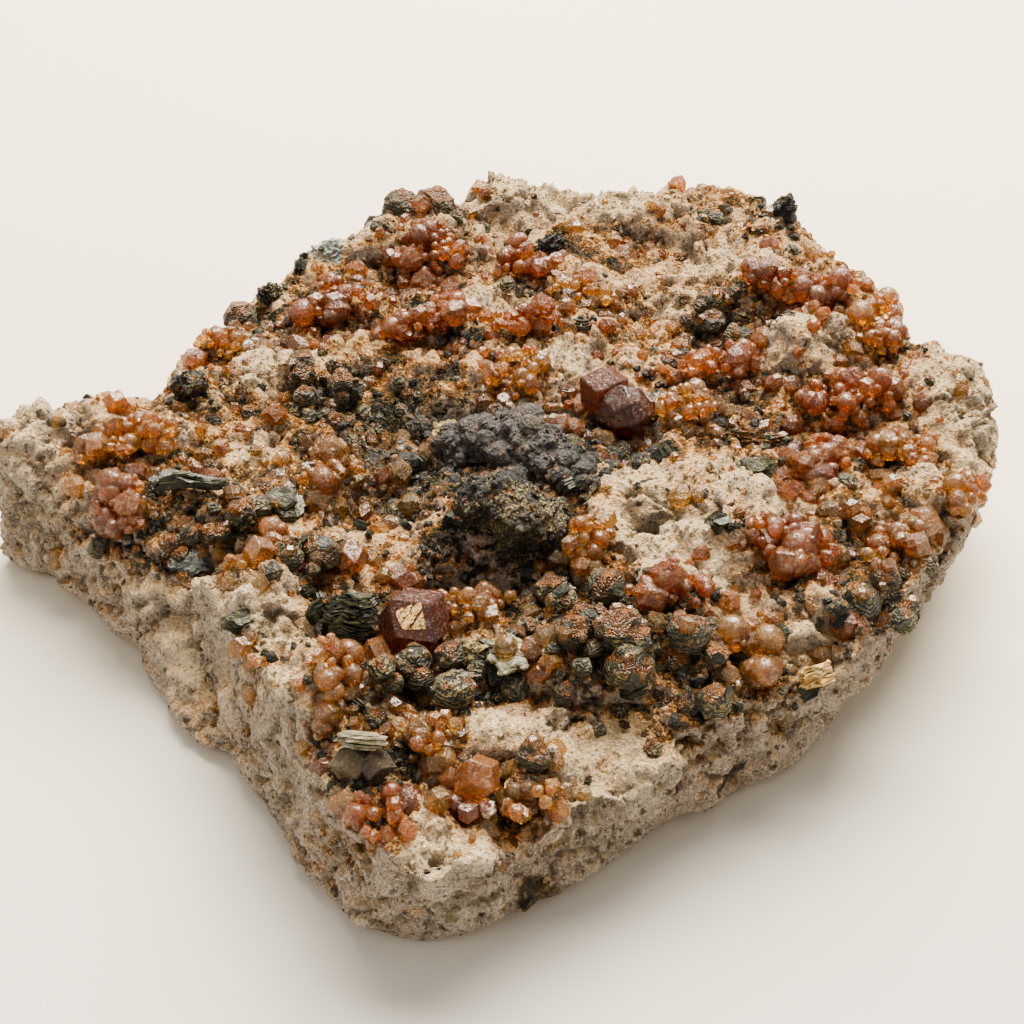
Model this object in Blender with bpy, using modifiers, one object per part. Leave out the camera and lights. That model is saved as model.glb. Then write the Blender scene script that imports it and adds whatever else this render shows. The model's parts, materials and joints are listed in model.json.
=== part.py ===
"""Garnet in matrix: a broken slab of pale granular feldspar whose top is overgrown with garnet crystals,
dark quartz and mica.

The slab lies on its flat underside at z = 0 with +Z up, and its sharp front corner points along -Y.
Lengths are in metres: a value written as 18 * MM is 18 millimetres.
Every mineral piece stands on the slab with a small gap, so that no two solids touch.
"""

import math
import random
from collections import namedtuple

import bmesh
import bpy
import numpy as np
from mathutils import Euler, Matrix, Vector, noise
from mathutils.bvhtree import BVHTree

MM = 0.001

# Driving dimensions
SLAB_HEIGHT = 18 * MM  # underside to the mean level of the top
SHOULDER = 2.0 * MM  # how far the rim is rounded in at the top
FOOT_ROUND = 2.2 * MM  # how far the lowest edge is rounded in
GAP = 0.3 * MM  # least clearance between neighbouring solids
SEAT_GAP = 0.36 * MM  # clearance between a piece and the slab below it
SLAB_TRIANGLES = 1900
VOXEL = 1.3 * MM  # grain of the slab before it is thinned out
OUTLINE_STEPS = 120  # points around each section of the slab
FOOT_CUT = 0.8 * MM  # taken off the underside, to leave it flat
FOOT_TOLERANCE = 0.05 * MM  # thinning leaves the underside this uneven, so it is set flat again
SEED = 7

# How garnets grow
LARGE_CRYSTAL = 3.6 * MM  # garnets of a larger radius have 24 faces, smaller ones 12
STRETCH = (0.92, 1.1)  # crystals are this much longer along one axis
RISE = (0.2, 0.5)  # height of a crystal's centre above the slab, in radii
SINGLE_RISE = 0.55
SPACING = (0.5, 0.66)  # distance between two grown-together crystals, as a share of their radii's sum
MOST_STEP = 3.5 * MM  # crystals of a patch stand no further than this above or below its middle
TRIES = 4000  # places tried for the crystals of a patch

# How quartz and mica grow
DENT = (0.78, 1.18)  # how far the corners of an angular lump stand from its middle
SHEET = 0.9 * MM  # thickness of a sheet of mica
SHEET_PITCH = 0.72 * MM  # distance between sheets, which overlap a little

# Outline of the slab at its rim and at its foot, in millimetres, anticlockwise from the left tip
RIM = (
    (-65, -5), (-58, -10), (-48, -17), (-36, -27), (-28, -37), (-24, -46), (-16, -57), (-12, -63),
    (-7, -66), (-2, -65), (4, -62), (10, -58.5), (16, -53.5), (24, -48), (32, -44.5), (40, -40.5),
    (49, -31), (57, -18), (63, -8), (66, 2), (66, 12), (61, 20), (56, 34), (51, 47), (46, 58), (36, 63),
    (22, 60), (12, 60), (2, 64), (-8, 58), (-17, 55), (-28, 45), (-35, 33), (-41, 23), (-48, 10),
    (-56, 4), (-62, 3),
)
FOOT = (
    (-67, -6), (-57, -14), (-48, -23), (-39, -34), (-31, -43), (-26, -49), (-21, -56), (-15, -63),
    (-10, -65.5), (-2, -64), (4, -60), (12, -56), (23, -50), (35, -42), (42, -34), (48, -24), (54, -12),
    (58, 0), (58, 13), (53, 26), (48, 40), (42, 51), (30, 56), (12, 54), (0, 55), (-13, 48), (-26, 38),
    (-35, 26), (-43, 13), (-54, 5), (-63, 1),
)

# Lumps (+) and hollows (-) of the top: x, y, radius and height in millimetres
RELIEF = (
    (-61, -3, 5.5, 3.4), (-52.5, 1, 3.5, 2.8), (-31, 11, 5.5, 3.0), (-27, 41, 5.0, 2.4),
    (2, 58, 6.0, 4.0), (22, 55, 8.0, 2.0), (37, 58, 6.0, 2.6), (43, 16, 6.5, 4.2), (60, 6, 7.5, 3.6),
    (53, -15, 5.0, 3.6), (42, -15, 4.0, 2.4), (20, -18, 11.0, 2.4), (25, -28, 5.0, 2.2),
    (34, -34, 4.5, 1.4), (-20, -45, 5.0, 3.0), (-26, -31, 4.0, 2.0), (-15, -66, 5.0, -1.5),
    (-5, -26, 4.5, -3.4), (1, -27, 3.5, -4.0), (31, 21, 8.0, -2.8), (-37, -22, 4.5, -3.2),
    (14, -51, 6.0, -2.8), (1, -60, 6.0, -1.8), (27, -46, 4.0, -2.0), (-13, 46, 8.0, 3.4),
    (-7, 27, 6.0, 1.6), (8, 14, 5.0, 2.0), (-48, -26, 6.0, -1.6), (1, -10, 10.0, 1.8),
    (9, -39, 6.0, 2.0), (18, -39, 6.0, 1.6), (18, -20.5, 2.6, -3.0), (24, 42, 6.0, -2.0),
    (-14, -14, 6.0, -1.6), (50, 34, 6.0, 1.8),
)
TOP_ROUGHNESS = ((12 * MM, 2.0 * MM), (5.5 * MM, 1.5 * MM))  # wavelength and depth of each scale
WALL_ROUGHNESS = ((14 * MM, 1.6 * MM), (5 * MM, 1.0 * MM))

# The front wall steps back below a ledge, between these two bearings
LEDGE_BEARINGS = (math.radians(272), math.radians(312))
LEDGE_HEIGHT = 11.5 * MM
LEDGE_DEPTH = 1.5 * MM

# Colours (linear RGB), roughness
FINISHES = {
    "matrix": ((0.60, 0.50, 0.42), 0.95),
    "garnet_orange": ((0.55, 0.17, 0.04), 0.25),
    "garnet_red": ((0.30, 0.07, 0.03), 0.22),
    "garnet_brown": ((0.14, 0.08, 0.05), 0.35),
    "dark_quartz": ((0.05, 0.05, 0.05), 0.45),
    "mica": ((0.26, 0.25, 0.17), 0.35),
}

# A patch of garnets that grew together: centre, half sizes and crystal radii in millimetres, turn in degrees
Patch = namedtuple("Patch", "name finish x y half_length half_width turn count small large")
PATCHES = (
    Patch("garnets_main_flank", "garnet_orange", -3.4, -32.5, 4.6, 3.2, 0, 3, 2.2, 2.9),
    Patch("garnets_left_shelf", "garnet_orange", -43, -5, 9.0, 4.5, 5, 5, 2.3, 3.2),
    Patch("garnets_left_edge", "garnet_red", -44.5, -16, 4.0, 4.5, 0, 4, 2.4, 3.2),
    Patch("garnets_left_hollow", "garnet_brown", -35.5, -19.5, 5.0, 2.4, 15, 4, 2.4, 3.2),
    Patch("garnets_left_inner", "garnet_orange", -28.5, -23, 4.5, 3.0, 60, 4, 1.9, 2.7),
    Patch("garnets_left_brown", "garnet_brown", -20, -26, 5.0, 3.0, 0, 3, 2.6, 3.5),
    Patch("garnets_lower_left", "garnet_orange", -17.5, -43, 3.0, 4.0, 0, 4, 2.0, 2.8),
    Patch("garnets_front_left", "garnet_orange", -18, -51, 2.0, 2.6, 0, 2, 1.9, 2.4),
    Patch("garnets_front_knob", "garnet_red", -10.5, -60.5, 3.4, 3.0, 0, 3, 2.6, 3.4),
    Patch("garnets_front_row", "garnet_orange", -6.5, -51.5, 3.0, 2.2, 0, 3, 1.8, 2.5),
    Patch("garnets_dark_front", "garnet_brown", -6, -43.8, 7.5, 3.0, 0, 5, 2.6, 3.4),
    Patch("garnets_front_edge", "garnet_orange", 5.5, -58.5, 4.5, 1.4, 8, 3, 1.6, 2.2),
    Patch("garnets_front_dim", "garnet_brown", 4.5, -53, 3.0, 1.8, 0, 2, 2.0, 2.6),
    Patch("garnets_lens", "garnet_orange", 11, -25.5, 4.0, 2.4, 0, 3, 2.2, 2.9),
    Patch("garnets_dark_centre", "garnet_brown", 9, -31.5, 3.4, 2.0, 0, 3, 2.2, 2.9),
    Patch("garnets_right_row", "garnet_red", 20.5, -34, 6.0, 1.2, -5, 3, 2.4, 2.9),
    Patch("garnets_dark_mass", "garnet_brown", 12, -40.5, 4.0, 4.0, -30, 5, 2.7, 3.7),
    Patch("garnets_olive_mass", "garnet_brown", 20.5, -43, 3.8, 3.0, -20, 4, 2.5, 3.4),
    Patch("garnets_right_front", "garnet_orange", 28.5, -39.5, 3.4, 2.6, 0, 3, 2.2, 3.1),
    Patch("garnets_right_cluster", "garnet_red", 34, -25.5, 3.6, 3.4, 0, 4, 2.4, 3.3),
    Patch("garnets_right_rim", "garnet_brown", 42.5, -33.5, 3.6, 2.6, 40, 4, 2.3, 3.1),
    Patch("garnets_right_band", "garnet_orange", 46, -24.5, 5.5, 2.6, 20, 4, 2.4, 3.2),
    Patch("garnets_far_right", "garnet_orange", 56, -17.5, 2.2, 3.0, -20, 3, 2.1, 2.8),
    Patch("garnets_right_inner", "garnet_red", 40, -9, 2.4, 4.4, 0, 3, 2.3, 3.0),
    Patch("garnets_right_upper", "garnet_orange", 50, -7, 4.0, 2.4, 0, 4, 2.3, 3.0),
    Patch("garnets_right_pair", "garnet_red", 46, 4.5, 5.0, 2.4, -10, 4, 3.0, 4.0),
    Patch("garnets_back_right_rim", "garnet_orange", 54, 19, 3.4, 6.0, 30, 4, 2.7, 3.4),
    Patch("garnets_back_right_band", "garnet_red", 44, 30, 6.5, 2.8, -20, 4, 2.9, 3.7),
    Patch("garnets_back_dark", "garnet_brown", 31.5, 26, 3.0, 5.0, 0, 4, 2.7, 3.4),
    Patch("garnets_mid_right", "garnet_red", 31, 12, 5.0, 2.6, 0, 4, 2.6, 3.3),
    Patch("garnets_centre_right", "garnet_orange", 26, 2.5, 3.6, 3.0, 0, 3, 2.2, 3.0),
    Patch("garnets_centre_pair", "garnet_red", 15.5, 1.5, 1.6, 4.4, 0, 2, 4.2, 5.0),
    Patch("garnets_centre", "garnet_orange", 2.5, 10, 3.6, 3.0, 0, 4, 2.2, 3.0),
    Patch("garnets_centre_back", "garnet_red", 3.5, 21, 3.4, 2.4, 0, 3, 2.6, 3.4),
    Patch("garnets_back_bright", "garnet_orange", 12, 29.5, 4.0, 2.4, 0, 3, 2.6, 3.4),
    Patch("garnets_back_red", "garnet_red", 4, 38, 3.4, 2.0, 0, 3, 2.6, 3.3),
    Patch("garnets_left_centre", "garnet_red", -9.5, 21, 4.6, 3.0, 10, 3, 2.8, 3.5),
    Patch("garnets_back_left_red", "garnet_red", -11.5, 38.5, 4.0, 4.5, 0, 4, 3.2, 4.0),
    Patch("garnets_back_left_peak", "garnet_brown", -13.5, 49.2, 4.2, 0.8, 0, 2, 3.8, 4.2),
    Patch("garnets_left_rim_red", "garnet_red", -25.5, 27, 5.0, 3.4, 10, 4, 2.8, 3.5),
    Patch("garnets_left_corner", "garnet_orange", -38, 18.5, 2.0, 2.6, 0, 2, 2.6, 3.2),
    Patch("garnets_mottled_left", "garnet_brown", -22, 6.5, 7.0, 4.0, 10, 4, 2.2, 3.0),
    Patch("garnets_mottled_inner", "garnet_orange", -18, -9, 6.5, 3.4, 5, 4, 2.0, 2.8),
)

# Single large garnets: centre and radius in millimetres, and the turn about X, Y and Z in degrees
Crystal = namedtuple("Crystal", "name finish x y radius turn")
SINGLES = (
    Crystal("garnet_main", "garnet_red", -9.2, -36.3, 3.7, (-24, 2, 20)),
    Crystal("garnet_front", "garnet_orange", -2.2, -57, 3.3, (30, 25, 10)),
)

# Dark quartz and mica: half sizes in millimetres, turn in degrees
Lump = namedtuple("Lump", "name x y half_length half_width height turn count")
QUARTZ = (
    Lump("dark_quartz_front", 1.6, -17.8, 7.0, 5.2, 8.6, -20, 4),
    Lump("dark_quartz_back", 2.5, -5.8, 10.0, 5.6, 6.2, -12, 5),
    Lump("dark_quartz_left_rim", -43.5, 7.5, 4.8, 3.0, 5.2, -10, 2),
    Lump("dark_quartz_right_rim", 36.5, -35.5, 2.0, 3.2, 5.0, 15, 2),
    Lump("dark_quartz_back_corner", 43.5, 54, 3.2, 3.0, 5.4, 0, 2),
)
Book = namedtuple("Book", "name finish x y length width sheets turn tilt")
MICA = (
    Book("mica_book_front", "mica", -13, -54.8, 6.4, 4.4, 4, 10, 62),
    Book("mica_silver", "mica", 1.5, -41.5, 5.2, 4.4, 3, 30, 28),
    Book("mica_blades_left", "mica", -37.5, -13.5, 9.0, 2.6, 3, 8, 24),
    Book("mica_dark_main", "dark_quartz", -15.2, -35.5, 7.4, 4.0, 3, 65, 35),
    Book("mica_right_rim", "mica", 34.5, -42, 4.6, 3.0, 4, -20, 40),
)


def clear_scene():
    for old in list(bpy.data.objects):
        bpy.data.objects.remove(old)


def new_collection(name):
    made = bpy.data.collections.new(name)
    bpy.context.scene.collection.children.link(made)
    return made


def new_material(name):
    colour, roughness = FINISHES[name]
    made = bpy.data.materials.new(name)
    made.use_nodes = True
    shader = made.node_tree.nodes["Principled BSDF"]
    shader.inputs["Base Color"].default_value = (*colour, 1)
    shader.inputs["Roughness"].default_value = roughness
    shader.inputs["Metallic"].default_value = 0
    return made


def new_object(name, bm, collection):
    """An object of the bmesh, which it frees."""
    mesh = bpy.data.meshes.new(name)
    bm.to_mesh(mesh)
    bm.free()
    made = bpy.data.objects.new(name, mesh)
    collection.objects.link(made)
    return made


def apply_modifiers(obj):
    """Swaps the object's mesh for its evaluated one, and clears its modifiers."""
    graph = bpy.context.evaluated_depsgraph_get()
    mesh = bpy.data.meshes.new_from_object(obj.evaluated_get(graph))
    obj.modifiers.clear()
    obj.data = mesh


# ---- the slab

def reach(outline, bearing):
    """Distance from the centre to the outline, in metres, along a bearing."""
    ray = Vector((math.cos(bearing), math.sin(bearing)))
    for start, end in zip(outline, outline[1:] + outline[:1]):
        a, b = Vector(start), Vector(end)
        edge = b - a
        turn = ray.cross(edge)
        if abs(turn) < 1e-9:
            continue
        along = a.cross(edge) / turn
        share = a.cross(ray) / turn
        if along > 0 and -1e-9 <= share <= 1 + 1e-9:
            return along * MM
    raise ValueError("the outline doesn't go round the centre")


def sections():
    """(height, reach at a bearing) of the slab's sections, from the underside to the top."""

    def blend(share, inset=0.0):
        def reach_at(bearing):
            foot, rim = reach(FOOT, bearing), reach(RIM, bearing)
            ledge = LEDGE_BEARINGS[0] < bearing < LEDGE_BEARINGS[1]
            step = LEDGE_DEPTH if ledge and 0 < share < 0.6 else 0
            return foot + (rim - foot) * share - inset - step

        return reach_at

    return (
        (0, blend(0, FOOT_ROUND)),
        (FOOT_ROUND, blend(0)),
        (LEDGE_HEIGHT - 2 * MM, blend(0.5)),
        (LEDGE_HEIGHT, blend(0.7)),
        (SLAB_HEIGHT - SHOULDER, blend(1)),
        (SLAB_HEIGHT, blend(1, SHOULDER)),
    )


def rough(point, scales, offset):
    """Sum of noise of several wavelengths at a point."""
    return sum(
        depth * noise.fractal(point / length + offset, 0.8, 2.0, 2) for length, depth in scales
    )


def relief(x, y):
    """Height that the lumps and hollows add to the top: each is steepest at its radius."""
    height = 0.0
    for lump_x, lump_y, radius, rise in RELIEF:
        away = math.hypot(x - lump_x * MM, y - lump_y * MM) / (radius * MM)
        height += rise * MM / (1 + away**6)
    return height


def weather(obj):
    """Moves the slab's skin: lumps and hollows on the top, and broken rock on the walls."""
    mesh = obj.data
    top_offset, wall_offset = Vector((3.1, 7.7, 1.3)), Vector((11.9, 2.3, 5.1))
    moved = []
    for vertex in mesh.vertices:
        place, normal = vertex.co.copy(), vertex.normal
        up = max(0.0, normal.z)
        side = math.sqrt(max(0.0, 1 - normal.z**2))
        flat = Vector((place.x, place.y, 0))
        place.z += up * (relief(place.x, place.y) + rough(flat, TOP_ROUGHNESS, top_offset))
        place += normal * side * rough(place, WALL_ROUGHNESS, wall_offset)
        moved.append(place)
    for vertex, place in zip(mesh.vertices, moved):
        vertex.co = place


def flat_foot(obj):
    """Cuts the underside flat at z = 0, so that the slab rests on it."""
    bm = bmesh.new()
    bm.from_mesh(obj.data)
    cut = min(vertex.co.z for vertex in bm.verts) + FOOT_CUT
    everything = bm.verts[:] + bm.edges[:] + bm.faces[:]
    made = bmesh.ops.bisect_plane(
        bm, geom=everything, plane_co=(0, 0, cut), plane_no=(0, 0, 1), clear_inner=True
    )
    rim = [part for part in made["geom_cut"] if isinstance(part, bmesh.types.BMEdge)]
    bmesh.ops.edgeloop_fill(bm, edges=rim)
    bmesh.ops.translate(bm, verts=bm.verts, vec=(0, 0, -cut))
    bmesh.ops.recalc_face_normals(bm, faces=bm.faces)
    bm.to_mesh(obj.data)
    bm.free()


def make_slab(collection):
    """The slab: a loft through its sections, weathered, and thinned out to few faces."""
    bm = bmesh.new()
    bearings = [2 * math.pi * step / OUTLINE_STEPS for step in range(OUTLINE_STEPS)]
    rings = []
    for height, reach_at in sections():
        ring = []
        for bearing in bearings:
            far = reach_at(bearing)
            ring.append(bm.verts.new((far * math.cos(bearing), far * math.sin(bearing), height)))
        rings.append(ring)
    for below, above in zip(rings, rings[1:]):
        for i in range(OUTLINE_STEPS):
            j = (i + 1) % OUTLINE_STEPS
            bm.faces.new((below[i], below[j], above[j], above[i]))
    bm.faces.new(rings[0][::-1])
    bm.faces.new(rings[-1])
    slab = new_object("matrix", bm, collection)

    grain = slab.modifiers.new("grain", "REMESH")
    grain.mode = "VOXEL"
    grain.voxel_size = VOXEL
    apply_modifiers(slab)
    weather(slab)
    flat_foot(slab)

    slab.modifiers.new("triangles", "TRIANGULATE")
    apply_modifiers(slab)
    thin = slab.modifiers.new("thin_out", "DECIMATE")
    thin.ratio = SLAB_TRIANGLES / len(slab.data.polygons)
    apply_modifiers(slab)
    for vertex in slab.data.vertices:
        if vertex.co.z < FOOT_TOLERANCE:
            vertex.co.z = 0
    return slab


# ---- crystals and other minerals, each a closed convex body

def hull(points):
    bm = bmesh.new()
    for point in points:
        bm.verts.new(point)
    made = bmesh.ops.convex_hull(bm, input=bm.verts)
    inside = set(made["geom_interior"] + made["geom_unused"])
    loose = [part for part in inside if isinstance(part, bmesh.types.BMVert)]
    bmesh.ops.delete(bm, geom=loose, context="VERTS")
    return bm


def signs(count):
    """Every list of that many signs."""
    return [[1 - 2 * (n >> k & 1) for k in range(count)] for n in range(2**count)]


def corner_points(distance):
    return [Vector(s) * distance / math.sqrt(3) for s in signs(3)]


def axis_points(distance):
    return [Vector([s * distance * (k == axis) for k in range(3)]) for axis in range(3) for s in (1, -1)]


def edge_points(distance):
    share = distance / math.sqrt(2)
    points = []
    for axis in range(3):
        for a, b in signs(2):
            point = [a * share, b * share]
            point.insert(axis, 0)
            points.append(Vector(point))
    return points


def dodecahedron():
    """Rhombic dodecahedron, the common form of garnet: 12 faces, circumradius 1."""
    return hull(axis_points(1) + corner_points(math.sqrt(3) / 2))


def trapezohedron():
    """Deltoidal icositetrahedron, the other form of garnet: 24 faces, circumradius 1."""
    corner = math.sqrt(3) / (1 + 2 * math.sqrt(2)) * math.sqrt(2)
    return hull(axis_points(1) + edge_points(1) + corner_points(corner * 1.02))


def garnet(radius, place, turn, stretch):
    """A garnet crystal, slightly drawn out along one axis."""
    bm = trapezohedron() if radius > LARGE_CRYSTAL else dodecahedron()
    scale = Matrix.Diagonal((radius, radius * stretch, radius, 1))
    bm.transform(Matrix.LocRotScale(place, turn, None) @ scale)
    return bm


def dice(piece):
    """Random numbers of the piece's own, so that a change to one piece leaves the others alone."""
    return random.Random(f"{SEED} {piece.name}")


def random_turn(rng):
    return Euler([rng.uniform(0, 2 * math.pi) for _ in range(3)])


def quartz_lump(rng, half_sizes, place, turn):
    """An angular lump: the hull of a dented sphere."""
    bm = bmesh.new()
    bmesh.ops.create_icosphere(bm, subdivisions=1, radius=1)
    points = [vertex.co * rng.uniform(*DENT) for vertex in bm.verts]
    bm.free()
    made = hull(points)
    made.transform(Matrix.LocRotScale(place, turn, Vector(half_sizes)))
    return made


def mica_sheet(length, width, place, turn):
    """A six-sided plate."""
    bm = bmesh.new()
    bmesh.ops.create_cone(bm, cap_ends=True, segments=6, radius1=1, radius2=1, depth=1)
    bm.transform(Matrix.LocRotScale(place, turn, Vector((length / 2, width / 2, SHEET))))
    return bm


# ---- growing the minerals on the slab

class Bed:
    """The slab's surface, and what already stands on it."""

    def __init__(self, slab, collection):
        bm = bmesh.new()
        bm.from_mesh(slab.data)
        self.tree = BVHTree.FromBMesh(bm)
        bm.normal_update()
        for vertex in bm.verts:
            vertex.co += vertex.normal * SEAT_GAP
        self.cutter = new_object("slab_cutter", bm, collection)
        self.cutter.hide_render = True
        self.cutter.display_type = "WIRE"
        self.taken = []  # (node name, centre, radius)

    def height(self, x, y):
        hit, _, _, _ = self.tree.ray_cast(Vector((x, y, 1)), Vector((0, 0, -1)))
        return hit.z if hit else None

    def is_free(self, name, centre, radius):
        return all(
            other == name or (centre - place).length > radius + size + GAP
            for other, place, size in self.taken
        )

    def take(self, name, centre, radius):
        self.taken.append((name, centre, radius))


def fuse(name, bodies, bed, collections, material):
    """Joins overlapping bodies into one solid that stands on the slab."""
    parts, helpers = collections
    grown = [new_object(f"{name}_{i}", body, helpers) for i, body in enumerate(bodies)]
    node = grown[0]
    if len(grown) > 1:
        others = bpy.data.collections.new(f"{name}_others")
        for body in grown[1:]:
            others.objects.link(body)
        join = node.modifiers.new("join", "BOOLEAN")
        join.operation = "UNION"
        join.operand_type = "COLLECTION"
        join.collection = others
        join.solver = "EXACT"
        apply_modifiers(node)
    seat = node.modifiers.new("seat", "BOOLEAN")
    seat.operation = "DIFFERENCE"
    seat.object = bed.cutter
    seat.solver = "EXACT"
    apply_modifiers(node)
    for body in grown[1:]:
        bpy.data.objects.remove(body)
    helpers.objects.unlink(node)
    parts.objects.link(node)
    node.name = name
    tidy(node)
    node.data.materials.clear()
    node.data.materials.append(material)
    return node


def tidy(node):
    """Drops crumbs that the seat cut loose, and slivers along its edges."""
    bm = bmesh.new()
    bm.from_mesh(node.data)
    bmesh.ops.remove_doubles(bm, verts=bm.verts, dist=0.02 * MM)
    bmesh.ops.dissolve_limit(bm, angle_limit=math.radians(1), verts=bm.verts, edges=bm.edges)
    bmesh.ops.triangulate(bm, faces=bm.faces)
    islands, seen = [], set()
    for start in bm.verts:
        if start in seen:
            continue
        island, queue = set(), [start]
        while queue:
            vertex = queue.pop()
            if vertex in island:
                continue
            island.add(vertex)
            queue.extend(edge.other_vert(vertex) for edge in vertex.link_edges)
        seen |= island
        islands.append(island)
    largest = max(islands, key=len)
    crumbs = [vertex for vertex in bm.verts if vertex not in largest]
    bmesh.ops.delete(bm, geom=crumbs, context="VERTS")
    bm.to_mesh(node.data)
    bm.free()


def grow_patch(patch, bed, rng):
    """Crystals of a patch: each new one overlaps one that is already there."""
    turn = Matrix.Rotation(math.radians(patch.turn), 2)
    grown = []
    middle = bed.height(patch.x * MM, patch.y * MM)
    for _ in range(TRIES):
        if len(grown) == patch.count:
            break
        radius = rng.uniform(patch.small, patch.large) * MM
        away, bearing = math.sqrt(rng.random()), rng.uniform(0, 2 * math.pi)
        spot = turn @ Vector(
            (patch.half_length * away * math.cos(bearing), patch.half_width * away * math.sin(bearing))
        )
        x, y = (patch.x + spot.x) * MM, (patch.y + spot.y) * MM
        ground = bed.height(x, y)
        if ground is None or abs(ground - middle) > MOST_STEP:
            continue
        centre = Vector((x, y, ground + radius * rng.uniform(*RISE)))
        spacing = [(centre - place).length / (radius + size) for place, size in grown]
        if spacing and not SPACING[0] < min(spacing) < SPACING[1]:
            continue
        if not bed.is_free(patch.name, centre, radius):
            continue
        grown.append((centre, radius))
        bed.take(patch.name, centre, radius)
    return [garnet(size, place, random_turn(rng), rng.uniform(*STRETCH)) for place, size in grown]


def grow_single(crystal, bed):
    x, y, radius = crystal.x * MM, crystal.y * MM, crystal.radius * MM
    centre = Vector((x, y, bed.height(x, y) + radius * SINGLE_RISE))
    bed.take(crystal.name, centre, radius)
    turn = Euler([math.radians(angle) for angle in crystal.turn])
    bm = trapezohedron()
    bm.transform(Matrix.LocRotScale(centre, turn, Vector((radius, radius, radius))))
    return [bm]


def grow_quartz(lump, bed, rng):
    """Angular lumps in a row along the mass, the middle ones highest."""
    turn = Matrix.Rotation(math.radians(lump.turn), 2)
    bodies = []
    for i in range(lump.count):
        share = 2 * i / (lump.count - 1) - 1  # -1 at one end of the row and 1 at the other
        aside = rng.uniform(-0.3, 0.3)
        spot = turn @ Vector((lump.half_length * 0.6 * share, lump.half_width * aside))
        x, y = (lump.x + spot.x) * MM, (lump.y + spot.y) * MM
        swell = 1 - 0.3 * abs(share)
        half_sizes = (
            lump.half_length * MM * rng.uniform(0.45, 0.6),
            lump.half_width * MM * 0.9 * swell,
            lump.height * MM * 0.62 * swell,
        )
        place = Vector((x, y, bed.height(x, y) + lump.height * MM * 0.4 * swell))
        tip = Euler((0, rng.uniform(-0.3, 0.3), math.radians(lump.turn)))
        bodies.append(quartz_lump(rng, half_sizes, place, tip))
        bed.take(lump.name, place, max(half_sizes[0], half_sizes[1]))
    return bodies


def grow_book(book, bed, rng):
    """Sheets stacked with small offsets, and tilted out of the slab."""
    x, y = book.x * MM, book.y * MM
    turn = Euler((math.radians(book.tilt), 0, math.radians(book.turn)))
    base = Vector((x, y, bed.height(x, y) + book.width * MM * 0.32))
    bodies = []
    for i in range(book.sheets):
        layer = (i - (book.sheets - 1) / 2) * SHEET_PITCH
        shift = Vector((rng.uniform(-0.6, 0.6) * MM, rng.uniform(-0.3, 0.3) * MM, layer))
        length, width = (size * MM * rng.uniform(0.82, 1.0) for size in (book.length, book.width))
        sheet_turn = turn.copy()
        sheet_turn.z += rng.uniform(-0.08, 0.08)
        bodies.append(mica_sheet(length, width, base + turn.to_matrix() @ shift, sheet_turn))
    bed.take(book.name, base, max(book.length, book.width) * MM / 2)
    return bodies


def centre_on_origin(nodes):
    """Puts the middle of the whole object's box over the origin."""
    corners = np.array([vertex.co for node in nodes for vertex in node.data.vertices])
    middle = (corners.min(0) + corners.max(0)) / 2
    for node in nodes:
        node.data.transform(Matrix.Translation((-middle[0], -middle[1], 0)))


def main():
    clear_scene()
    parts, helpers = new_collection("garnet_in_matrix"), new_collection("cutters")
    materials = {name: new_material(name) for name in FINISHES}
    slab = make_slab(parts)
    slab.data.materials.append(materials["matrix"])
    bed = Bed(slab, helpers)
    grown = {}
    for crystal in SINGLES:
        grown[crystal.name] = (grow_single(crystal, bed), crystal.finish)
    for book in MICA:
        grown[book.name] = (grow_book(book, bed, dice(book)), book.finish)
    for lump in QUARTZ:
        grown[lump.name] = (grow_quartz(lump, bed, dice(lump)), "dark_quartz")
    for patch in PATCHES:
        grown[patch.name] = (grow_patch(patch, bed, dice(patch)), patch.finish)
    nodes = [slab]
    for name, (bodies, finish) in grown.items():
        nodes.append(fuse(name, bodies, bed, (parts, helpers), materials[finish]))
    bpy.data.objects.remove(bed.cutter)
    centre_on_origin(nodes)


main()
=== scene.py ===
# Dresses the garnet specimen: grain on the rock, crusts of small garnets, pitted quartz and sheeted mica.
# Lengths are in metres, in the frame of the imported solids: the slab lies on z = 0, its front corner at -Y.
import itertools
import json
import math
import random

import bmesh
import bpy
import numpy as np
from mathutils import Matrix, Vector, noise
from mathutils.bvhtree import BVHTree

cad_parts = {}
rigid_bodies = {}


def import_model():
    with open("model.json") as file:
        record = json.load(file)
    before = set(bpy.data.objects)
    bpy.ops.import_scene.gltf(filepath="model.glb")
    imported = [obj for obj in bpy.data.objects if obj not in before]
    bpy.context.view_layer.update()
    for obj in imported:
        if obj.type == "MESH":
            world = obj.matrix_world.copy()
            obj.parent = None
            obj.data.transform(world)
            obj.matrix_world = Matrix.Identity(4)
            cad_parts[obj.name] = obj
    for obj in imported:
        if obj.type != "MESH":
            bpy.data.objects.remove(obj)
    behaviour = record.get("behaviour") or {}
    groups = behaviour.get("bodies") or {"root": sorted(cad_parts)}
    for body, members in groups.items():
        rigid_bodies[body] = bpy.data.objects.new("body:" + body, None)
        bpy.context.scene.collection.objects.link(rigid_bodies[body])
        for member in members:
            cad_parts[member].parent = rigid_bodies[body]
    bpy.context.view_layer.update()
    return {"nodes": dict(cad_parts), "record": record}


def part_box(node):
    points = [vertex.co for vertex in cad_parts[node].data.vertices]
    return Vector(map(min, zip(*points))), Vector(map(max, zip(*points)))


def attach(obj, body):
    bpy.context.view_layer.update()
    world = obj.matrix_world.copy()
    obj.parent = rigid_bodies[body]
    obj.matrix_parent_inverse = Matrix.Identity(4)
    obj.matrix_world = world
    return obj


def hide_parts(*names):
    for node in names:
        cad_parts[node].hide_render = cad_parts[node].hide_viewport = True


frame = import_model()
mm = 0.001
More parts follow.
